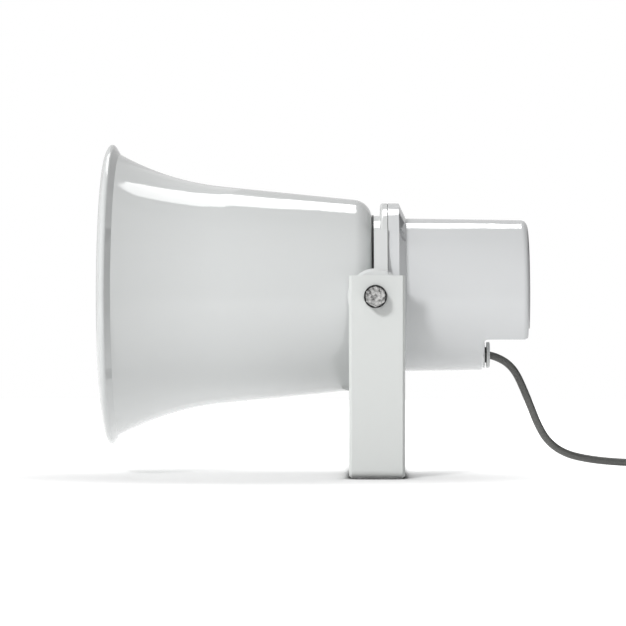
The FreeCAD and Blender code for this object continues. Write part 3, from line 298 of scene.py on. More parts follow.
@dataclass(frozen=True)
class PlatedSteel(Finish):
    """Zinc-plated steel: mottled crystals, tool marks along a grain, dull and bright spots."""

    grain: Grain
    roughness: float = 0.34
    mottle: Pattern = Pattern(460.0, 5.0)
    mottle_shades: Pair = (0.36, 1.8)
    mottle_span: Pair = (0.36, 0.66)
    spots: Pattern = Pattern(900.0, 3.0)
    spot_shares: Pair = (0.6, 1.4)
    marks: Pattern = Pattern(1800.0, 3.0)
    mark_depth: float = 0.00003
    mark_strength: float = 0.5

    def draw(self, sheet: ShaderSheet) -> None:
        """Adds crystals, spots and tool marks."""
        sheet.set(Metallic=1.0)
        sheet.tint(sheet.noise(self.mottle), self.colour, self.mottle_shades, self.mottle_span)
        sheet.gloss(sheet.noise(self.spots), scaled(self.roughness, self.spot_shares))
        sheet.relief(sheet.noise(self.marks, self.grain), self.mark_depth, self.mark_strength)


@dataclass(frozen=True)
class SoftRubber(Finish):
    """Matt black rubber with a fine bloom."""

    roughness: Pair = (0.6, 0.8)
    bloom: Pattern = Pattern(120.0, 4.0)
    bloom_shades: Pair = (0.7, 1.5)
    skin: Pattern = Pattern(1600.0, 2.0)
    skin_depth: float = 0.00003
    skin_strength: float = 0.5

    def draw(self, sheet: ShaderSheet) -> None:
        """Adds the bloom in colour and gloss, and the skin."""
        bloom = sheet.noise(self.bloom)
        sheet.tint(bloom, self.colour, self.bloom_shades)
        sheet.gloss(bloom, self.roughness)
        sheet.relief(sheet.noise(self.skin), self.skin_depth, self.skin_strength)


@dataclass(frozen=True)
class CableJacket(Finish):
    """Extruded grey jacket: speckle, a satin skin and the faint lay of the cores under it."""

    roughness: Pair = (0.4, 0.55)
    ior: float = 1.5
    speckle: Pattern = Pattern(700.0, 4.0)
    speckle_shades: Pair = (0.85, 1.15)
    satin: Pattern = Pattern(90.0, 3.0)
    lay: Pattern = Pattern(160.0, 2.0)
    lay_depth: float = 0.00006
    lay_strength: float = 0.5
    skin: Pattern = Pattern(1500.0, 2.0)
    skin_depth: float = 0.00002
    skin_strength: float = 0.4

    def draw(self, sheet: ShaderSheet) -> None:
        """Adds speckle, satin, the lay of the cores and the skin."""
        sheet.set(IOR=self.ior)
        sheet.tint(sheet.noise(self.speckle), self.colour, self.speckle_shades)
        sheet.gloss(sheet.noise(self.satin), self.roughness)
        sheet.relief(sheet.noise(self.lay), self.lay_depth, self.lay_strength)
        sheet.relief(sheet.noise(self.skin), self.skin_depth, self.skin_strength)


@dataclass(frozen=True)
class DarkMoulding(Finish):
    """Textured moulding of the inner parts."""

    roughness: Pair = (0.45, 0.6)
    tone: Pattern = Pattern(80.0, 3.0)
    tone_shades: Pair = (0.85, 1.2)
    skin: Pattern = Pattern(1200.0, 2.0)
    skin_depth: float = 0.00004
    skin_strength: float = 0.6

    def draw(self, sheet: ShaderSheet) -> None:
        """Adds an uneven tone and the textured skin."""
        tone = sheet.noise(self.tone)
        sheet.tint(tone, self.colour, self.tone_shades)
        sheet.gloss(tone, self.roughness)
        sheet.relief(sheet.noise(self.skin), self.skin_depth, self.skin_strength)


@dataclass(frozen=True)
class BareMetal(Finish):
    """Turned or drawn metal with fine tool lines."""

    grain: Grain
    roughness: float = 0.3
    tone: Pattern = Pattern(140.0, 3.0)
    tone_shades: Pair = (0.85, 1.1)
    gloss_shares: Pair = (0.8, 1.25)
    lines: Pattern = Pattern(2400.0, 2.0)
    line_depth: float = 0.00002
    line_strength: float = 0.6

    def draw(self, sheet: ShaderSheet) -> None:
        """Adds an uneven tone and tool lines along the grain."""
        sheet.set(Metallic=1.0)
        tone = sheet.noise(self.tone)
        sheet.tint(tone, self.colour, self.tone_shades)
        sheet.gloss(tone, scaled(self.roughness, self.gloss_shares))
        sheet.relief(sheet.noise(self.lines, self.grain), self.line_depth, self.line_strength)


@dataclass(frozen=True)
class Layered(Finish):
    """Stacked or wound metal layers that show as fine lines, such as laminations or wire."""

    stack: Stack
    pitch: float
    roughness: Pair = (0.3, 0.5)
    wander: float = 0.4
    line_shades: Pair = (0.6, 1.0)
    line_span: Pair = (0.1, 0.6)
    spots: Pattern = Pattern(300.0, 3.0)
    depth_share: float = 0.3
    line_strength: float = 0.6

    def draw(self, sheet: ShaderSheet) -> None:
        """Adds a band wave of one line for each pitch along the stack."""
        sheet.set(Metallic=1.0)
        wave = sheet.tree.nodes.new("ShaderNodeTexWave")
        wave.bands_direction = self.stack.value
        wave.inputs["Scale"].default_value = FULL_TURN / (WAVE_RADIANS * self.pitch)
        wave.inputs["Distortion"].default_value = self.wander
        sheet.tree.links.new(sheet.place, wave.inputs["Vector"])
        lines = wave.outputs["Fac"]
        sheet.tint(lines, self.colour, self.line_shades, self.line_span)
        sheet.gloss(sheet.noise(self.spots), self.roughness)
        sheet.relief(lines, self.pitch * self.depth_share, self.line_strength)


def placed(name: str, data: bpy.types.ID) -> bpy.types.Object:
    """A new object in the scene, at the origin, for a mesh, curve, lamp or camera."""
    thing = bpy.data.objects.new(name, data)
    bpy.context.scene.collection.objects.link(thing)
    return thing


def shade_smooth(mesh: bpy.types.Mesh) -> None:
    """Marks all faces of a mesh as smooth."""
    mesh.polygons.foreach_set("use_smooth", np.ones(len(mesh.polygons), dtype=bool))


def smooth(node: bpy.types.Object) -> None:
    """Shades a CAD node as the smooth solid that it is, with its sharper edges kept crisp.

    Args:
        node: The node's object.
    """
    shade_smooth(node.data)
    weld = node.modifiers.new("joined faces", "WELD")
    weld.merge_threshold = WELD_REACH
    split = node.modifiers.new("crisp edges", "EDGE_SPLIT")
    split.split_angle = math.radians(CRISP_ANGLE)
    normals = node.modifiers.new("even shading", "WEIGHTED_NORMAL")
    normals.weight = FACE_WEIGHT
    normals.keep_sharp = True


def dress(finish: Finish, *names: str) -> None:
    """Gives CAD nodes a finish and smooth shading.

    Args:
        finish: The finish.
        names: The nodes that share it.
    """
    material = finish.material()
    for name in names:
        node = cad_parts[name]
        node.data.materials.clear()
        node.data.materials.append(material)
        smooth(node)
        log.info("%s in %s", name, material.name)


def grid_mesh(name: str, points: np.ndarray, ring: bool = False) -> bpy.types.Object:
    """A smooth closed tube from a grid of points.

    The grid has one row for each section along the tube and one column for each point round it.
    Neighbouring rows and columns make the quads and columns wrap round. The rows of a ring wrap
    round too, and otherwise the first and last rows are closed by a face.

    Args:
        name: The new object's name.
        points: Array of shape (rows, columns, 3), in metres.
        ring: Whether the tube runs back into its start.

    Returns:
        The object, linked to the scene.
    """
    rows, columns = points.shape[:2]
    index = np.arange(rows * columns).reshape(rows, columns)
    turned = np.roll(index, -1, axis=1)
    quads = np.stack([index, turned, np.roll(turned, -1, axis=0), np.roll(index, -1, axis=0)], axis=-1)
    if ring:
        faces = quads.reshape(-1, 4).tolist()
    else:
        faces = [*quads[:-1].reshape(-1, 4).tolist(), index[0, ::-1].tolist(), index[-1].tolist()]
    mesh = bpy.data.meshes.new(name)
    mesh.from_pydata(points.reshape(-1, 3).tolist(), [], faces)
    shade_smooth(mesh)
    mesh.update()
    return placed(name, mesh)


def unit(vector: np.ndarray) -> np.ndarray:
    """A vector of length 1 in the same direction."""
    return vector / np.linalg.norm(vector)


def eased(value: np.ndarray, start: float, end: float) -> np.ndarray:
    """Smooth step from 0 before start to 1 after end: t * t * (3 - 2 * t)."""
    share = np.clip((value - start) / (end - start), 0.0, 1.0)
    return share * share * (3.0 - 2.0 * share)


@dataclass
class Mouldings:
    """The light grey mouldings: bell, reflector, throat tube, base and rear case."""

    colour: Colour = (0.735, 0.752, 0.748)
    base_colour: Colour = (0.77, 0.785, 0.78)
    case_colour: Colour = (0.762, 0.776, 0.783)
    reflector_colour: Colour = (0.7, 0.715, 0.71)
    reflector_roughness: float = 0.2

    def dress(self) -> None:
        """Gives each moulding its plastic."""
        dress(MouldedPlastic("bell gloss", self.colour), "horn_bell")
        dress(MouldedPlastic("base gloss", self.base_colour), "horn_base")
        dress(MouldedPlastic("case gloss", self.case_colour), "rear_case")
        inner = MouldedPlastic("reflector gloss", self.reflector_colour, self.reflector_roughness)
        dress(inner, "reflector", "throat_tube")


@dataclass
class Mounting:
    """The bracket and the pivot's bolts, washers and inserts, with all other screws."""

    paint: Colour = (0.775, 0.795, 0.78)
    zinc: Colour = (0.3, 0.3, 0.295)
    screw_shade: float = 0.9
    # Blackened steel; its black also stands in for the shade round the bolt heads and in the screw wells.
    black: Colour = (0.05, 0.05, 0.05)
    black_roughness: float = 0.45
    brass: Colour = (0.72, 0.53, 0.24)

    def dress(self) -> None:
        """Gives the bracket its paint and the fasteners their plating."""
        dress(PaintedSteel("bracket paint", self.paint), "bracket")
        dress(PlatedSteel("bolt zinc", self.zinc, Grain.UPRIGHT), "pivot_bolts", "spring_washers")
        # Painted shade in part: the black washers and case screws also give the darkness of the shadow
        # round the bolt heads and in the screw wells.
        black = PlatedSteel("black steel with painted shade", self.black, Grain.EVEN, self.black_roughness)
        dress(black, "flat_washers", "case_screws")
        screws = PlatedSteel("screw zinc", shade(self.zinc, self.screw_shade), Grain.ALONG_HORN)
        dress(screws, "bell_screws", "driver_screws", "frame_screws")
        brass = BareMetal("turned brass", self.brass, Grain.ALONG_PIVOT)
        dress(brass, "pivot_inserts", "terminal_screws")


@dataclass
class Seals:
    """The dark seams of the gasket and the bell's seal, and the cable gland. The seal's black also paints
    the shade in the gap behind the bell.
    """

    gland: Colour = (0.66, 0.675, 0.67)
    gland_roughness: float = 0.36
    rubber: Colour = (0.02, 0.02, 0.02)
    neck: float = 0.0583
    seal_width: float = 0.0011
    seal_rise: float = 0.0004
    clearance: float = 0.00005
    round_points: int = 120

    def build_shadow_seal(self) -> bpy.types.Object:
        """Builds the flat seal that shows between the bell's back and the arms of the base; its black is
        also painted shade for that gap.

        A rectangle of seal_width by seal_rise is turned about the horn's axis: a corner at (x, r)
        goes to (x, r * cos(a), axis height + r * sin(a)) for the angles a of a full turn.

        Returns:
            The ring's object.
        """
        low, high = (np.array(corner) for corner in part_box("horn_bell"))
        front = high[0] + self.clearance
        inner = self.neck + self.clearance
        along = np.array([front, front + self.seal_width, front + self.seal_width, front])
        radius = np.array([inner, inner, inner + self.seal_rise, inner + self.seal_rise])
        angle = np.linspace(0.0, FULL_TURN, self.round_points, endpoint=False)[:, None]
        height = (low[2] + high[2]) / 2 + radius * np.sin(angle)
        along = np.broadcast_to(along, height.shape)
        points = np.stack([along, radius * np.cos(angle), height], axis=-1)
        return grid_mesh("bell_shadow_seal", points, ring=True)

    def dress(self) -> None:
        """Gives the gland its satin moulding and the seals their rubber."""
        # The seal's black rubber also stands in for the shade in the gap behind the bell.
        seal = self.build_shadow_seal()
        seal.data.materials.append(SoftRubber("bell shadow seal rubber", self.rubber).material())
        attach(seal, Body.HORN.value)
        log.info("bell shadow seal")
        gland = MouldedPlastic("gland moulding", self.gland, self.gland_roughness)
        dress(gland, "gland_base", "gland_cap", "gland_nut")
        dress(SoftRubber("seal rubber", self.rubber), "case_gasket", "gland_seal")


@dataclass
class Inner:
    """What the case holds: the driver, the transformer and the terminals."""

    moulding: Colour = (0.05, 0.05, 0.053)
    film: Colour = (0.55, 0.33, 0.1)
    film_roughness: float = 0.3
    coil_wire: Colour = (0.68, 0.31, 0.14)
    coil_pitch: float = 0.0004
    winding_wire: Colour = (0.66, 0.3, 0.13)
    winding_pitch: float = 0.0008
    sheet_steel: Colour = (0.3, 0.3, 0.31)
    sheet_pitch: float = 0.0005
    plate: Colour = (0.5, 0.5, 0.47)
    ferrite: Colour = (0.06, 0.06, 0.064)

    def dress(self) -> None:
        """Gives each inner piece its own finish."""
        moulding = DarkMoulding("driver moulding", self.moulding)
        dress(moulding, "driver_cover", "phase_plug", "terminal_block")
        dress(MouldedPlastic("amber film", self.film, self.film_roughness), "diaphragm")
        coil = Layered("voice coil wire", self.coil_wire, Stack.ALONG_HORN, self.coil_pitch)
        dress(coil, "voice_coil")
        winding = Layered("winding wire", self.winding_wire, Stack.ALONG_HORN, self.winding_pitch)
        dress(winding, "transformer_winding")
        sheets = Layered("laminations", self.sheet_steel, Stack.UPRIGHT, self.sheet_pitch)
        dress(sheets, "transformer_core")
        plates = PlatedSteel("plate zinc", self.plate, Grain.UPRIGHT)
        dress(plates, "top_plate", "pole_yoke", "transformer_frame")
        dress(DarkMoulding("ground ferrite", self.ferrite), "magnet")


@dataclass
class Cable:
    """The grey cable: from the gland to the floor and out of view into a tied coil with a bare end.

    The angles of the coil are in degrees from its start.
    """

    colour: Colour = (0.105, 0.106, 0.1)
    copper: Colour = (0.72, 0.4, 0.24)
    copper_roughness: float = 0.28
    insulation: Colour = (0.36, 0.05, 0.04)
    tie: Colour = (0.015, 0.015, 0.015)
    diameter: float = 0.0055
    length: float = 0.86
    leaves: Point = (0.0843, 0.0, 0.086)
    route: tuple[Point, ...] = (
        (0.0752, 0.0, 0.086),
        (0.0759, 0.0, 0.086),
        (0.0853, 0.0, 0.086),
        (0.0949, 0.0004, 0.0818),
        (0.1006, 0.0011, 0.0769),
        (0.1046, 0.0018, 0.0712),
        (0.1082, 0.0028, 0.0636),
        (0.1117, 0.0042, 0.0554),
        (0.1153, 0.0064, 0.0468),
        (0.1202, 0.0106, 0.0345),
        (0.1278, 0.0168, 0.0214),
        (0.141, 0.026, 0.0118),
        (0.159, 0.0365, 0.007),
        (0.181, 0.046, 0.0042),
        (0.207, 0.0535, 0.00295),
        (0.228, 0.058, 0.00275),
    )
    lead_in: float = 0.02
    outer_turn: float = 0.033
    inner_turn: float = 0.0275
    full_turns: int = 3
    end_turn: float = 65.0
    turn_step: float = 15.0
    inwards_at: Pair = (290.0, 360.0)
    climb_at: Pair = (595.0, 660.0)
    outwards_at: Pair = (885.0, 955.0)
    tail: float = 0.05
    tail_shares: tuple[float, ...] = (0.16, 0.32, 0.46, 0.6, 0.74, 0.87, 1.0)
    tail_drop: Pair = (0.26, 0.86)
    spline_steps: int = 6
    round_steps: int = 6
    core_gap: float = 0.0001
    tip_reach: float = 0.0035
    strand_count: int = 7
    strand_turns: float = 1.5
    strands_across: float = 3.0
    strand_rows: int = 25
    strand_columns: int = 8

    def arrival(self) -> tuple[float, np.ndarray]:
        """Where the cable comes into its coil.

        Returns:
            The angle of the coil's start about its centre, in radians, and the centre on the floor.
        """
        last = np.array(self.route[-1])
        heading = last - np.array(self.route[-2])
        heading[2] = 0.0
        heading = unit(heading)
        left = np.array([-heading[1], heading[0], 0.0])
        centre = last + heading * self.lead_in + left * self.outer_turn
        centre[2] = 0.0
        return math.atan2(-left[1], -left[0]), centre

    def coil(self) -> np.ndarray:
        """Points of the coil's turns.

        With t the turned angle in degrees, a point is centre + radius(t) * (cos, sin) of the start
        angle plus t. The first turn lies outside on the floor and eases inwards at its end, the
        second climbs at three quarters of its way, and the third eases out over the first.

        Returns:
            Array of shape (points, 3).
        """
        start, centre = self.arrival()
        turned = np.arange(0.0, TURN_DEGREES * self.full_turns + self.end_turn, self.turn_step)
        inside = eased(turned, *self.inwards_at) - eased(turned, *self.outwards_at)
        radius = self.outer_turn + (self.inner_turn - self.outer_turn) * inside
        height = self.diameter * (0.5 + eased(turned, *self.climb_at))
        angle = start + np.radians(turned)
        across = [centre[0] + radius * np.cos(angle), centre[1] + radius * np.sin(angle)]
        return np.stack([*across, height], axis=1)

    def end_line(self) -> tuple[np.ndarray, np.ndarray, np.ndarray]:
        """The line that the free end lies on.

        Returns:
            Its start on the coil at floor level, the unit heading, and the unit vector outwards.
        """
        start, centre = self.arrival()
        angle = start + math.radians(self.end_turn)
        outwards = np.array([math.cos(angle), math.sin(angle), 0.0])
        heading = np.array([-outwards[1], outwards[0], 0.0])
        begins = centre + outwards * self.outer_turn
        begins[2] = self.diameter / 2
        return begins, heading, outwards

    def free_end(self) -> np.ndarray:
        """Points of the free end, which leaves the top of the coil and comes down to the floor.

        Returns:
            Array of shape (points, 3): start + heading * s, with a height that eases down by a diameter.
        """
        begins, heading, _ = self.end_line()
        along = self.tail * np.array(self.tail_shares)
        points = begins + along[:, None] * heading
        points[:, 2] += self.diameter * (1.0 - eased(along, *scaled(self.tail, self.tail_drop)))
        return points

    def build_jacket(self) -> bpy.types.Object:
        """Builds the cable as one smooth spline along its route, its coil and its free end.

        Returns:
            The curve object.
        """
        points = np.vstack([np.array(self.route), self.coil(), self.free_end()])
        curve = bpy.data.curves.new("cable_jacket", "CURVE")
        curve.dimensions = "3D"
        curve.resolution_u = self.spline_steps
        curve.bevel_depth = self.diameter / 2
        curve.bevel_resolution = self.round_steps
        curve.use_fill_caps = True
        spline = curve.splines.new("NURBS")
        spline.points.add(len(points) - 1)
        spline.points.foreach_set("co", np.column_stack([points, np.ones(len(points))]).ravel())
        spline.order_u = 3
        spline.use_endpoint_u = True
        return placed("cable_jacket", curve)

    def build_strands(self) -> bpy.types.Object:
        """Builds the twisted copper strands at the stripped ends.

        Each strand is a tube whose centre runs round its bundle's axis: with s from 0 to 1 along the
        tip, the centre is axis(s) + spread * (cos, sin) of (2 pi * (turns * s + its share)), and
        the last strand is the straight one in the middle.

        Returns:
            The mesh object of all strands.
        """
        low, high = (np.array(corner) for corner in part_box("core_tips"))
        core_low, core_high = (np.array(corner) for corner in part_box("cable_cores"))
        _, heading, outwards = self.end_line()
        up = np.array([0.0, 0.0, 1.0])
        middle = (low + high) / 2
        spacing = (core_high[2] - core_low[2]) / 2 + self.core_gap
        radius = (high[2] - low[2]) / 2
        strand = radius / self.strands_across
        along = np.linspace(0.0, 1.0, self.strand_rows)
        on_axis = np.outer((along - 0.5) * 2.0 * self.tip_reach, heading)
        round_it = np.linspace(0.0, FULL_TURN, self.strand_columns, endpoint=False)
        ring = strand * (np.outer(np.cos(round_it), outwards) + np.outer(np.sin(round_it), up))
        twisted = self.strand_count - 1
        strands = []
        for side in (1.0, -1.0):
            axis = middle + outwards * side * spacing + on_axis
            for number in range(self.strand_count):
                spread = 0.0 if number == twisted else radius - strand
                phase = FULL_TURN * (self.strand_turns * along + number / twisted)
                off_axis = np.outer(np.cos(phase), outwards) + np.outer(np.sin(phase), up)
                centre = axis + spread * off_axis
                strands.append(grid_mesh(f"strand_{len(strands)}", centre[:, None, :] + ring[None, :, :]))
        with bpy.context.temp_override(active_object=strands[0], selected_editable_objects=strands):
            bpy.ops.object.join()
        joined = strands[0]
        joined.name = "core_strands"
        return joined

    def build(self) -> None:
        jacket = self.build_jacket()
        jacket.data.materials.append(CableJacket("cable jacket", self.colour).material())
        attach(jacket, Body.HORN.value)
        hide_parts("cable_run", "cable_coil", "cable_end")
        strands = self.build_strands()
        copper = BareMetal("copper strands", self.copper, Grain.EVEN, self.copper_roughness)
        strands.data.materials.append(copper.material())
        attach(strands, Body.HORN.value)
        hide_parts("core_tips")
        dress(CableJacket("tail jacket", self.colour), "cable_tail")
        dress(DarkMoulding("core insulation", self.insulation), "cable_cores")
        dress(DarkMoulding("tie moulding", self.tie), "coil_tie")
        log.info("cable of %.2f m", self.length)


def aim(thing: bpy.types.Object, place: Point, direction: Vector) -> None:
    """Stands a lamp or camera at a place and turns it to a direction."""
    thing.location = place
    thing.rotation_mode = "QUATERNION"
    thing.rotation_quaternion = direction.to_track_quat("-Z", "Y")


@dataclass(frozen=True)
class Lamp:
    """A soft rectangular lamp: its place, the point it faces, its width and height, and its power."""

    name: str
    place: Point
    faces: Point
    size: Pair
    watts: float

    def build(self) -> None:
        """Adds the lamp, hidden from the camera and from reflections."""
        data = bpy.data.lights.new(self.name, "AREA")
        data.shape = "RECTANGLE"
        data.size, data.size_y = self.size
        data.energy = self.watts
        lamp = placed(self.name, data)
        aim(lamp, self.place, Vector(self.faces) - Vector(self.place))
        lamp.visible_camera = False
        lamp.visible_glossy = False


def level(outline: tuple[Pair, ...], height: float) -> tuple[Point, ...]:
    """Corners of a level card: the points of an outline at one height."""
    return tuple((x, y, height) for x, y in outline)


def upright(start: Pair, end: Pair, height: float) -> tuple[Point, ...]:
    """Corners of an upright card that stands on the floor from one point to another."""
    return (*start, 0.0), (*end, 0.0), (*end, height), (*start, height)


@dataclass(frozen=True)
class Card:
    """A flat card in the studio, out of the camera's sight, and black where its glow is 0.

    A mirrored card shows in reflections and neither lights nor shades. Any other card shades and
    doesn't show in reflections.
    """

    name: str
    corners: tuple[Point, ...]
    glow: float = 0.0
    mirrored: bool = True

    def build(self) -> None:
        """Stands the card in the studio."""
        mesh = bpy.data.meshes.new(self.name)
        mesh.from_pydata(self.corners, [], [tuple(range(len(self.corners)))])
        card = placed(self.name.replace(" ", "_"), mesh)
        material = bpy.data.materials.new(self.name)
        material.use_nodes = True
        tree = material.node_tree
        tree.nodes.clear()
        output = tree.nodes.new("ShaderNodeOutputMaterial")
        glow = tree.nodes.new("ShaderNodeEmission")
        glow.inputs["Strength"].default_value = self.glow
        tree.links.new(glow.outputs[0], output.inputs["Surface"])
        mesh.materials.append(material)
        card.visible_camera = False
        card.visible_diffuse = not self.mirrored
        card.visible_shadow = not self.mirrored
        card.visible_glossy = self.mirrored


@dataclass
class Studio:
    """A white floor, soft lamps, cards, and the camera at the photograph's viewpoint."""

    frame_pixels: float = 626.0
    focal_pixels: float = 3300.0
    eye: Point = (-0.0096, -2.43, 0.1595)
    eye_pixel: Pair = (362.0, 255.0)
    sensor: float = 36.0
    far_clip: float = 50.0
    room_light: Pair = (0.2, 0.65)
    room_side: Point = (-0.34, -0.92, 0.2)
    floor_low: Pair = (-2.0, -2.2)
    floor_high: Pair = (2.0, 1.2)
    floor_colour: Colour = (0.8, 0.8, 0.8)
    floor_glow: float = 0.26
    # Painted shade: the floor's glow falls away where the object is near.
    painted_glow_shade_reach: float = 0.02
    painted_glow_shade_span: Pair = (0.88, 1.0)
    # Painted shade: the floor's colour darkens where the object nearly touches it.
    painted_contact_shade_reach: float = 0.012
    painted_contact_shade_span: Pair = (0.5, 0.95)
    painted_shade_samples: int = 4
    # An oval round the shadow where the glow stays low: a painted shadow added to the real one.
    shadow_middle: Point = (-0.09, -0.07, 0.0)
    shadow_reach: Point = (0.17, 0.07, 1.0)
    shadow_edge: Pair = (0.5, 2.2)
    lamps: tuple[Lamp, ...] = (
        Lamp("key", (-0.86, -1.37, 1.25), (-0.04, 0.0, 0.13), size=(0.35, 0.35), watts=18.0),
        Lamp("overhead", (0.0, 0.75, 1.3), (0.0, 0.05, 0.13), size=(2.0, 0.6), watts=4.0),
        Lamp("bounce left", (-0.43, -0.1, 0.002), (-0.43, -0.1, 1.0), size=(0.76, 1.2), watts=0.72),
        Lamp("bounce right", (0.36, -0.1, 0.002), (0.36, -0.1, 1.0), size=(0.6, 1.2), watts=1.05),
    )
    light_outline: tuple[Pair, ...] = (
        (-0.9, 0.77),
        (-0.9, 2.2),
        (0.0, 2.3),
        (0.13, 2.55),
        (0.3, 3.2),
        (0.42, 2.4),
        (0.4, 1.76),
        (0.6, 1.52),
        (0.83, 1.38),
        (0.94, 1.17),
        (1.01, 1.0),
        (1.04, 0.87),
        (1.01, 0.74),
        (0.94, 0.65),
        (0.87, 0.59),
        (0.54, 0.56),
        (0.25, 0.57),
        (0.14, 0.66),
        (0.05, 0.72),
    )
    light_height: float = 2.4
    light_glow: float = 6.0
    flag_outline: tuple[Pair, ...] = (
        (-0.0965, -0.06),
        (0.3, -0.06),
        (0.3, 0.3),
        (0.121, 0.3),
        (0.12, 0.081),
        (0.034, 0.063),
        (0.025, 0.061),
        (0.007, 0.043),
        (-0.001, 0.039),
        (-0.014, 0.037),
        (-0.041, 0.027),
        (-0.072, 0.015),
        (-0.0965, 0.006),
    )
    flare_outline: tuple[Pair, ...] = (
        (-0.145, 0.02),
        (-0.1235, 0.02),
        (-0.121, 0.038),
        (-0.1165, 0.06),
        (-0.1115, 0.072),
        (-0.1085, 0.082),
        (-0.1045, 0.097),
        (-0.099, 0.11),
        (-0.099, 0.4),
        (-0.145, 0.4),
    )
    flag_height: float = 0.33
    flag_glow: float = 0.85
    flare_glow: float = 1.0
    dark_right: float = 0.6
    cards_back: float = 1.6
    shade_front: float = -0.9
    shade_height: float = 1.2
    edge_front: float = -0.2
    edge_height: float = 0.45
    back_half: float = 1.5
    back_height: float = 1.45
    back_glow: float = 0.76

    def camera(self) -> None:
        """Stands the camera at the eye, square to the horn's side but for the frame's offset."""
        data = bpy.data.cameras.new("view")
        data.sensor_width = self.sensor
        data.lens = self.sensor * self.focal_pixels / self.frame_pixels
        data.clip_end = self.far_clip
        camera = placed("view", data)
        half = self.frame_pixels / 2
        across = (half - self.eye_pixel[0]) / self.focal_pixels
        down = (half - self.eye_pixel[1]) / self.focal_pixels
        aim(camera, self.eye, Vector((across, 1.0, -down)))
        bpy.context.scene.camera = camera

    def rays(self, tree: Tree) -> tuple[Socket, Socket]:
        """Values of 1 for what the camera looks at, and for what glossy and transmission rays look at.

        Args:
            tree: The node tree to add to.

        Returns:
            The camera's socket and the reflections' socket.
        """
        path = tree.nodes.new("ShaderNodeLightPath").outputs
        mirrored = combined(tree, "MAXIMUM", path["Is Glossy Ray"], path["Is Transmission Ray"])
        return path["Is Camera Ray"], mirrored

    def world(self) -> None:
        """White for the camera and reflections, and otherwise a light that is stronger at one side."""
        world = bpy.data.worlds.new("studio")
        world.use_nodes = True
        bpy.context.scene.world = world
        tree = world.node_tree
        background = next(node for node in tree.nodes if node.type == "BACKGROUND")
        background.inputs["Color"].default_value = (1.0, 1.0, 1.0, 1.0)
        facing = tree.nodes.new("ShaderNodeVectorMath")
        facing.operation = "DOT_PRODUCT"
        facing.inputs[1].default_value = Vector(self.room_side).normalized()
        tree.links.new(tree.nodes.new("ShaderNodeTexCoord").outputs["Generated"], facing.inputs[0])
        room = ranged(tree, facing.outputs["Value"], after=self.room_light)
        seen = combined(tree, "MAXIMUM", *self.rays(tree))
        tree.links.new(ranged(tree, seen, after=(room, 1.0)), background.inputs["Strength"])

    def painted_shade_mask(self, tree: Tree, reach: float, span: Pair) -> Socket:
        """Mask of painted shade on the floor: 0 where the object nearly touches it, 1 where nothing is
        near.

        Args:
            tree: The floor's node tree.
            reach: How far the object still counts as near.
            span: The shares of open room above the floor at which the value is 0 and 1.

        Returns:
            The value socket.
        """
        near = tree.nodes.new("ShaderNodeAmbientOcclusion")
        near.samples = self.painted_shade_samples
        near.inputs["Distance"].default_value = reach
        return ranged(tree, near.outputs["AO"], before=span, soft=True)

    def glow_with_painted_shade(self, tree: Tree) -> Socket:
        """The floor's glow, lowered by painted shade near the object and in an oval round the shadow,
        growing to white around it.

        Args:
            tree: The floor's node tree.

        Returns:
            The value socket.
        """
        around = tree.nodes.new("ShaderNodeMapping")
        around.vector_type = "TEXTURE"
        around.inputs["Location"].default_value = self.shadow_middle
        around.inputs["Scale"].default_value = self.shadow_reach
        tree.links.new(tree.nodes.new("ShaderNodeTexCoord").outputs["Object"], around.inputs["Vector"])
        distance = tree.nodes.new("ShaderNodeVectorMath")
        distance.operation = "LENGTH"
        tree.links.new(around.outputs["Vector"], distance.inputs[0])
        # Painted shade: the glow falls to nothing near the object and stays low in the oval round its
        # shadow.
        clear = self.painted_shade_mask(tree, self.painted_glow_shade_reach, self.painted_glow_shade_span)
        under = ranged(tree, clear, after=(0.0, self.floor_glow))
        return ranged(tree, distance.outputs["Value"], self.shadow_edge, (under, 1.0), soft=True)

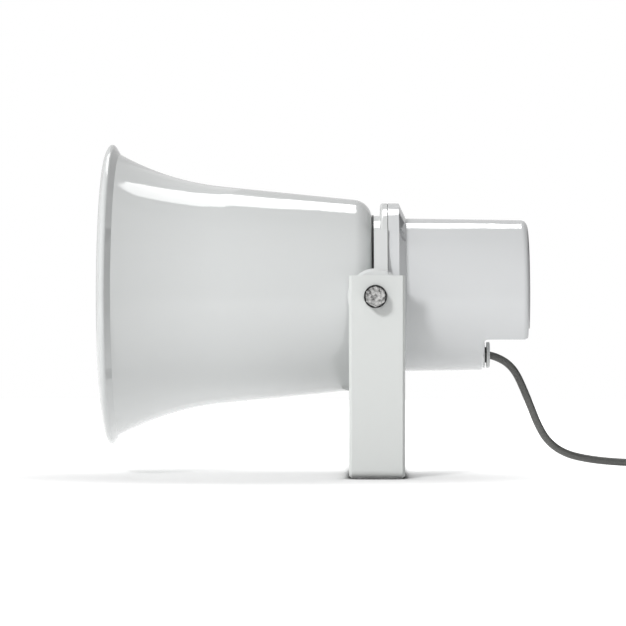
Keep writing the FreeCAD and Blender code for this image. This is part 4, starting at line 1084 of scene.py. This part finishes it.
    def floor(self) -> None:
        """Lays a pale floor that keeps the object's shadow, darkened by painted shade near the object,
        and runs out white.
        """
        (left, front), (right, back) = self.floor_low, self.floor_high
        corners = level(((left, front), (right, front), (right, back), (left, back)), 0.0)
        mesh = bpy.data.meshes.new("floor")
        mesh.from_pydata(corners, [], [(0, 1, 2, 3)])
        floor = placed("floor", mesh)
        material = bpy.data.materials.new("pale floor")
        material.use_nodes = True
        tree = material.node_tree
        tree.nodes.clear()
        output = tree.nodes.new("ShaderNodeOutputMaterial")
        both = tree.nodes.new("ShaderNodeAddShader")
        diffuse = tree.nodes.new("ShaderNodeBsdfDiffuse")
        colour = tree.nodes.new("ShaderNodeVectorMath")
        colour.operation = "SCALE"
        colour.inputs[0].default_value = self.floor_colour
        # Painted shade: the floor's own colour is darkened where the object nearly touches it.
        clear = self.painted_shade_mask(tree, self.painted_contact_shade_reach, self.painted_contact_shade_span)
        tree.links.new(clear, colour.inputs["Scale"])
        tree.links.new(colour.outputs["Vector"], diffuse.inputs["Color"])
        glow = tree.nodes.new("ShaderNodeEmission")
        camera, mirrored = self.rays(tree)
        seen = combined(tree, "MULTIPLY", camera, self.glow_with_painted_shade(tree))
        tree.links.new(combined(tree, "MAXIMUM", seen, mirrored), glow.inputs["Strength"])
        tree.links.new(diffuse.outputs[0], both.inputs[0])
        tree.links.new(glow.outputs[0], both.inputs[1])
        tree.links.new(both.outputs[0], output.inputs["Surface"])
        mesh.materials.append(material)

    def cards(self) -> tuple[Card, ...]:
        """The cards: three that shape the highlight, two dark ones at the right and a grey one behind.

        Returns:
            The cards in the order that they are stood up.
        """
        far_right = (self.dark_right, self.cards_back)
        shade_side = upright((self.dark_right, self.shade_front), far_right, self.shade_height)
        edge_side = upright((self.dark_right, self.edge_front), far_right, self.edge_height)
        back_ends = ((-self.back_half, self.cards_back), (self.back_half, self.cards_back))
        return (
            Card("light card", level(self.light_outline, self.light_height), self.light_glow),
            Card("dark card", shade_side, mirrored=False),
            Card("dark side", edge_side),
            Card("flag", level(self.flag_outline, self.flag_height), self.flag_glow),
            Card("flare flag", level(self.flare_outline, self.flag_height), self.flare_glow),
            Card("back card", upright(*back_ends, self.back_height), self.back_glow),
        )

    def build(self) -> None:
        """Sets up the view, the floor and the light."""
        bpy.context.scene.view_settings.view_transform = "Standard"
        self.camera()
        self.world()
        self.floor()
        for light in (*self.lamps, *self.cards()):
            light.build()
        log.info("studio ready")


def main() -> None:
    """Builds the studio, the cable and the finishes."""
    logging.basicConfig(level=logging.INFO)
    Studio().build()
    Cable().build()
    for group in (Mouldings(), Mounting(), Seals(), Inner()):
        group.dress()


if __name__ == "__main__":
    main()
